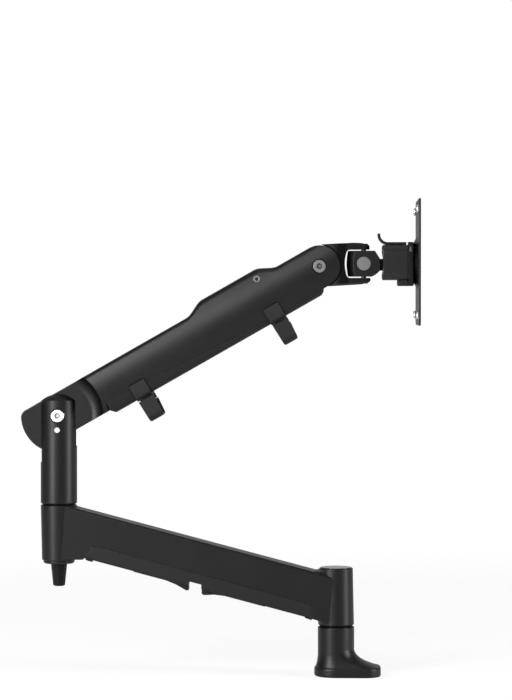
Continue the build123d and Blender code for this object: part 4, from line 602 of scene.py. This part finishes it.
class ARM_OT_polish_steel(bpy.types.Operator):
    """Give the screws, pins, spindles and link plates their turned steel"""
    bl_idname = "monitor_arm.polish_steel"
    bl_label = "Polish steel"

    def execute(self, context):
        look = context.scene.arm_finishes
        bright = turned_finish(
            "Bright steel", look.steel_colour, roughness=0.36, depth=0.00001, edge_width=0.0003)
        dress(SLOTS["bright_steel"], bright)
        satin = turned_finish(
            "Satin steel", look.satin_colour, roughness=0.42, depth=0.00002, edge_width=0.0004)
        dress(SLOTS["satin_steel"] + ["head_bolt", "anchor_bolt"], satin)
        dull = turned_finish(
            "Dull steel", look.dull_colour, roughness=0.42, depth=0.00002, edge_width=0.0004)
        dress(["latch_bar"], dull)
        cast = turned_finish(
            "Cast metal", look.satin_colour, roughness=0.5, depth=0.00004, edge_width=0.0004)
        dress(SLOTS["cast_zinc"], cast)
        return {"FINISHED"}


class ARM_OT_finish_pad_and_strut(bpy.types.Operator):
    """Give the foot's rubber pad and the strut's tube their finishes"""
    bl_idname = "monitor_arm.finish_pad_and_strut"
    bl_label = "Finish pad and strut"

    def execute(self, context):
        look = context.scene.arm_finishes
        rubber = grained_finish(
            "Pad rubber", look.rubber_colour, look.rubber_colour, roughness=0.75, grains=1400.0,
            depth=look.coat_grain, gloss=0.3, edge_width=0.0004)
        dress(SLOTS["rubber_pad"], rubber)
        enamel = grained_finish(
            "Strut enamel", look.coat_colour, look.rub_and_highlight_colour, roughness=0.3, grains=500.0,
            depth=look.coat_grain * 0.4, gloss=0.4, edge_width=0.0004)
        dress(SLOTS["strut_black"], enamel)
        return {"FINISHED"}


# ---- Operators: pieces

# Shares of the screw head's radius and height
FLAT_SHARE = 0.62
DOME_SHARE = 0.55
DOME_STEPS = 6
RECESS_REACH = 0.55
RECESS_WIDTH = 0.13
# How much of its reach and width the recess keeps at its bottom
RECESS_KEPT = (0.45, 0.7)
THREAD_PITCH = 0.7 * MM
THREAD_DEPTH = 0.35 * MM
TIP_CUT = 0.4 * MM
TIP_SHORT = 0.05 * MM  # the screw's end behind the plate's face
SCREW_TURN = 0.4  # from one screw's recess to the next
SQUARE = ((-1, -1), (1, -1), (1, 1), (-1, 1))


def finished_mesh(name, form):
    """A mesh from a bmesh, which is freed."""
    mesh = bpy.data.meshes.new(name)
    form.to_mesh(mesh)
    form.free()
    return mesh


def ring_mesh(name, lower, upper):
    """A closed form between two rings with as many points each."""
    form = bmesh.new()
    below, above = ([form.verts.new(point) for point in ring] for ring in (lower, upper))
    form.faces.new(below)
    form.faces.new(above[::-1])
    for index in range(len(below)):
        after = (index + 1) % len(below)
        form.faces.new((below[index], above[index], above[after], below[after]))
    bmesh.ops.recalc_face_normals(form, faces=form.faces)
    return finished_mesh(name, form)


def turned_mesh(name, profile, segments):
    """A mesh spun about X from (along, radius) points."""
    form = bmesh.new()
    chain = [form.verts.new((along, radius, 0.0)) for along, radius in profile]
    edges = [form.edges.new(pair) for pair in zip(chain, chain[1:])]
    bmesh.ops.spin(
        form, geom=chain + edges, cent=(0, 0, 0), axis=(1, 0, 0), angle=2 * math.pi, steps=segments)
    bmesh.ops.remove_doubles(form, verts=form.verts, dist=1e-6)
    bmesh.ops.recalc_face_normals(form, faces=form.faces)
    return finished_mesh(name, form)


def shown(name, data):
    """A new object in the scene, with a mesh, a lamp or a camera."""
    piece = bpy.data.objects.new(name, data)
    bpy.context.scene.collection.objects.link(piece)
    return piece


def slot_cutter(reach, width, depth):
    """One arm of a cross recess, narrower towards its bottom."""
    rings = []
    for along, long_half, short_half in (
            (-1.0 * MM, reach, width), (depth, reach * RECESS_KEPT[0], width * RECESS_KEPT[1])):
        rings.append([(along, y * long_half, z * short_half) for y, z in SQUARE])
    return ring_mesh("Recess cutter", *rings)


def screw_mesh(sizes, shank_length):
    """A pan-head screw along +X with its head's underside at X 0."""
    head, radius = sizes.head_height, sizes.head_radius
    profile = [(-head, 0.0)]
    for step in range(DOME_STEPS + 1):
        swing = math.radians(90 * step / DOME_STEPS)
        profile.append((
            -head + DOME_SHARE * head * (1 - math.cos(swing)),
            radius * (FLAT_SHARE + (1 - FLAT_SHARE) * math.sin(swing)),
        ))
    ridge = sizes.shank_radius
    profile += [(0.0, radius), (0.0, ridge)]
    along = 0.0
    while along + THREAD_PITCH < shank_length:
        profile.append((along + THREAD_PITCH * 0.5, ridge - THREAD_DEPTH))
        profile.append((along + THREAD_PITCH, ridge))
        along += THREAD_PITCH
    profile += [(shank_length, ridge - TIP_CUT), (shank_length, 0.0)]
    mesh = turned_mesh("Screen screw", profile, sizes.turns)
    body = shown("screen_screw_blank", mesh)
    cutters = []
    for turn in (0.0, math.pi / 2):
        recess = slot_cutter(radius * RECESS_REACH, radius * RECESS_WIDTH, sizes.recess_depth)
        cutter = shown("screen_screw_cutter", recess)
        cutter.matrix_world = Matrix.Translation((-head, 0, 0)) @ Matrix.Rotation(turn, 4, "X")
        cut = body.modifiers.new("Recess", "BOOLEAN")
        cut.object = cutter
        cut.solver = "EXACT"
        cutters.append(cutter)
    bpy.context.view_layer.update()
    made = bpy.data.meshes.new_from_object(body.evaluated_get(bpy.context.evaluated_depsgraph_get()))
    for blank in (body, *cutters):
        bpy.data.objects.remove(blank)
    for face in made.polygons:
        face.use_smooth = False
    return made


def strip_mesh(name, origin, along, upward, outline, thickness):
    """A flat strip: (along, across) points swept through a thickness."""
    rings = [
        [origin + along * u + Vector((0.0, y, 0.0)) + upward * lift for u, y in outline]
        for lift in (0.0, thickness)
    ]
    return ring_mesh(name, *rings)


class ARM_OT_seam_shade_sheet(bpy.types.Operator):
    """Close the open seam at the under cover's nose with a thin dark sheet: painted shade that keeps the white
    behind from showing through the seam
    """
    bl_idname = "monitor_arm.seam_gasket"
    bl_label = "Seam gasket"

    def execute(self, context):
        sizes = context.scene.arm_gasket
        elbow, head = PIVOTS["arm_lift"], PIVOTS["head_level"]
        along = (head - elbow).normalized()
        upward = Vector((-along.z, 0.0, along.x))
        half, trim = sizes.half_width, sizes.corner
        start, end = -sizes.start_back, -sizes.end_back
        outline = [
            (start + trim, -half), (end - trim, -half), (end, trim - half), (end, half - trim),
            (end - trim, half), (start + trim, half), (start, half - trim), (start, trim - half),
        ]
        mesh = strip_mesh(
            "Seam gasket", head - upward * sizes.depth, along, upward, outline, sizes.thickness)
        if len(mesh.polygons) != len(outline) + 2:
            raise RuntimeError("The gasket's strip isn't closed")
        # The sheet takes the dark pad rubber finish so that it reads as painted shade in the seam
        mesh.materials.append(bpy.data.materials["Pad rubber"])
        strip = shown("seam_gasket", mesh)
        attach(strip, "upper_arm")
        return {"FINISHED"}


class ARM_OT_screen_screws(bpy.types.Operator):
    """Put the four pan-head screws through the plate's wide pattern"""
    bl_idname = "monitor_arm.screen_screws"
    bl_label = "Screen screws"

    def execute(self, context):
        sizes = context.scene.arm_screws
        face = Vector(WIDE_HOLES["pos_m"])
        half = WIDE_HOLES["dims"]["spacing_x_mm"] * MM / 2
        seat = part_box("screen_plate")[1][0] - sizes.plate_thickness
        mesh = screw_mesh(sizes, face.x - seat - TIP_SHORT)
        if not mesh.polygons:
            raise RuntimeError("The screw's recess cut left nothing")
        steel = turned_finish(
            "Screw steel", context.scene.arm_finishes.steel_colour, roughness=0.3, depth=0.00001,
            edge_width=0.0002)
        mesh.materials.clear()
        mesh.materials.append(steel)
        for index, (y, z) in enumerate(SQUARE, 1):
            screw = shown(f"screen_screw_{index}", mesh)
            place = Matrix.Translation((seat, y * half, face.z + z * half))
            screw.matrix_world = place @ Matrix.Rotation(SCREW_TURN * index, 4, "X")
            bpy.context.view_layer.update()
            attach(screw, "plate")
        return {"FINISHED"}


# ---- Operator: stage

# Where reflections start to meet the wall and the ceiling, and where they meet them in full
WALL_SPAN = (0.2, 0.95)
CEILING_SPAN = (0.55, 0.95)
FLOOR_HALF = 6.0
FLOOR_DROP = 0.0002  # keeps the floor clear of the foot's underside
FADE_START = 0.4  # share of the shadow's reach at which the floor starts to fade to white
LAMPS = (
    # name, place, target, width, height, and the setting with its power
    ("Key", (-1.45, -1.6, 0.7), (-0.1, 0.0, 0.25), 0.6, 1.9, "key_power"),
    ("Front", (-0.55, -1.5, 0.85), (-0.15, 0.0, 0.3), 0.6, 0.3, "front_power"),
    ("Side", (2.0, -0.7, 0.6), (-0.05, 0.0, 0.25), 0.65, 1.6, "side_power"),
    ("Top", (-0.1, -0.5, 2.2), (-0.1, 0.0, 0.2), 1.4, 0.8, "top_power"),
)


def seen_share(tree, glossy_share):
    """1 for rays from the eye or through glass; a share, socket or number, for reflections."""
    path = tree.nodes.new("ShaderNodeLightPath")
    seen = math_node(tree, "MAXIMUM", path.outputs["Is Camera Ray"], path.outputs["Is Transmission Ray"])
    mirrored = math_node(tree, "MULTIPLY", path.outputs["Is Glossy Ray"], glossy_share)
    return math_node(tree, "MAXIMUM", seen, mirrored, True)


def whitened(tree, kind, factor, surface, out):
    """Mixes a surface with plain white, an emission or background node, by a factor."""
    white = tree.nodes.new(kind)
    white.inputs["Color"].default_value = WHITE
    white.inputs["Strength"].default_value = 1.0
    mix = tree.nodes.new("ShaderNodeMixShader")
    tree.links.new(factor, mix.inputs["Fac"])
    tree.links.new(surface, mix.inputs[1])
    tree.links.new(white.outputs[0], mix.inputs[2])
    tree.links.new(mix.outputs[0], out)


def studio_world(setup):
    """White to the eye; even light; reflections meet a white wall behind and a pale ceiling."""
    world = bpy.data.worlds.new("Studio")
    world.use_nodes = True
    tree = world.node_tree
    around = tree.nodes["Background"]
    around.inputs["Color"].default_value = WHITE
    glossy = tree.nodes.new("ShaderNodeLightPath").outputs["Is Glossy Ray"]
    dimming = math_node(tree, "MULTIPLY", glossy, setup.mirrored_room - setup.ambient)
    tree.links.new(math_node(tree, "ADD", dimming, setup.ambient), around.inputs["Strength"])
    way = tree.nodes.new("ShaderNodeSeparateXYZ")
    tree.links.new(tree.nodes.new("ShaderNodeTexCoord").outputs["Generated"], way.inputs[0])
    wall = eased(tree, way.outputs["Y"], *WALL_SPAN)
    ceiling = eased(tree, way.outputs["Z"], *CEILING_SPAN)
    wall = math_node(tree, "MULTIPLY", wall, setup.wall_share)
    ceiling = math_node(tree, "MULTIPLY", ceiling, setup.ceiling_share)
    share = seen_share(tree, math_node(tree, "MAXIMUM", wall, ceiling))
    out = tree.nodes["World Output"].inputs["Surface"]
    whitened(tree, "ShaderNodeBackground", share, around.outputs[0], out)
    return world


def studio_floor(setup):
    """A pale floor that the eye sees almost white, with the arm's shadow left in it."""
    form = bmesh.new()
    bmesh.ops.create_grid(form, x_segments=8, y_segments=8, size=FLOOR_HALF)
    mesh = finished_mesh("Floor", form)
    floor = shown("studio_floor", mesh)
    floor.location.z = CAD_LOW[2] - FLOOR_DROP
    finish, shader = new_material("Floor paint")
    tree = finish.node_tree
    grain = placed_group(
        finish, "Fine grain", Colour=setup.floor_colour, Contrast=0.02, Grains_per_metre=60.0,
        Roughness=0.9, Roughness_spread=0.02)
    tree.links.new(grain.outputs["Colour"], shader.inputs["Base Color"])
    tree.links.new(grain.outputs["Roughness"], shader.inputs["Roughness"])
    shader.inputs["Specular IOR Level"].default_value = 0.1
    reach = tree.nodes.new("ShaderNodeVectorMath")
    reach.operation = "LENGTH"
    tree.links.new(object_place(tree), reach.inputs[0])
    far = eased(tree, reach.outputs["Value"], setup.shadow_reach * FADE_START, setup.shadow_reach)
    fading = math_node(tree, "MULTIPLY", far, 1.0 - setup.floor_white)
    paleness = math_node(tree, "ADD", setup.floor_white, fading)
    factor = math_node(tree, "MULTIPLY", seen_share(tree, setup.floor_mirrored), paleness)
    out = tree.nodes["Material Output"].inputs["Surface"]
    whitened(tree, "ShaderNodeEmission", factor, shader.outputs[0], out)
    mesh.materials.append(finish)


def aimed(name, data, place, target):
    """A lamp or camera at a place, facing a target."""
    piece = shown(name, data)
    piece.location = place
    piece.rotation_euler = (Vector(target) - Vector(place)).to_track_quat("-Z", "Y").to_euler()
    return piece


def soft_lamp(name, place, target, width, height, power):
    """A rectangular area lamp."""
    lamp = bpy.data.lights.new(name, "AREA")
    lamp.shape = "RECTANGLE"
    lamp.size = width
    lamp.size_y = height
    lamp.energy = power
    aimed(name, lamp, place, target)


class ARM_OT_studio(bpy.types.Operator):
    """Set the plain pale floor, the soft lamps and the camera"""
    bl_idname = "monitor_arm.studio"
    bl_label = "Studio"

    def execute(self, context):
        scene = context.scene
        setup = scene.arm_studio
        scene.view_settings.view_transform = "Standard"
        scene.world = studio_world(setup)
        studio_floor(setup)
        for *lamp, power in LAMPS:
            soft_lamp(*lamp, getattr(setup, power))
        view = bpy.data.cameras.new("Camera")
        view.sensor_fit = "VERTICAL"
        view.angle = setup.camera_angle
        scene.camera = aimed("Camera", view, setup.camera_place, setup.camera_target)
        return {"FINISHED"}


# ---- Panel and registration

SETTINGS = {
    "arm_finishes": ArmFinishes,
    "arm_gasket": ShadeSheetSizes,
    "arm_screws": ScreenScrewSizes,
    "arm_studio": StudioSettings,
}
OPERATORS = (
    ARM_OT_coat_castings,
    ARM_OT_mould_plastics,
    ARM_OT_polish_steel,
    ARM_OT_finish_pad_and_strut,
    ARM_OT_seam_shade_sheet,
    ARM_OT_screen_screws,
    ARM_OT_studio,
)


class ARM_PT_sidebar(bpy.types.Panel):
    """The arm's finishes, pieces and studio"""
    bl_idname = "ARM_PT_sidebar"
    bl_label = "Monitor arm"
    bl_space_type = "VIEW_3D"
    bl_region_type = "UI"
    bl_category = "Monitor arm"

    def draw(self, context):
        for setting in SETTINGS:
            group = getattr(context.scene, setting)
            box = self.layout.box()
            for name in group.__annotations__:
                box.prop(group, name)
        for operator in OPERATORS:
            self.layout.operator(operator.bl_idname)


CLASSES = (*SETTINGS.values(), *OPERATORS, ARM_PT_sidebar)


def register():
    for item in CLASSES:
        bpy.utils.register_class(item)
    for name, kind in SETTINGS.items():
        setattr(bpy.types.Scene, name, PointerProperty(type=kind))


def unregister():
    for name in reversed(SETTINGS):
        delattr(bpy.types.Scene, name)
    for item in reversed(CLASSES):
        bpy.utils.unregister_class(item)


def main():
    register()
    bpy.ops.monitor_arm.coat_castings()
    bpy.ops.monitor_arm.mould_plastics()
    bpy.ops.monitor_arm.polish_steel()
    bpy.ops.monitor_arm.finish_pad_and_strut()
    bpy.ops.monitor_arm.seam_gasket()
    bpy.ops.monitor_arm.screen_screws()
    bpy.ops.monitor_arm.studio()


if __name__ == "__main__":
    main()
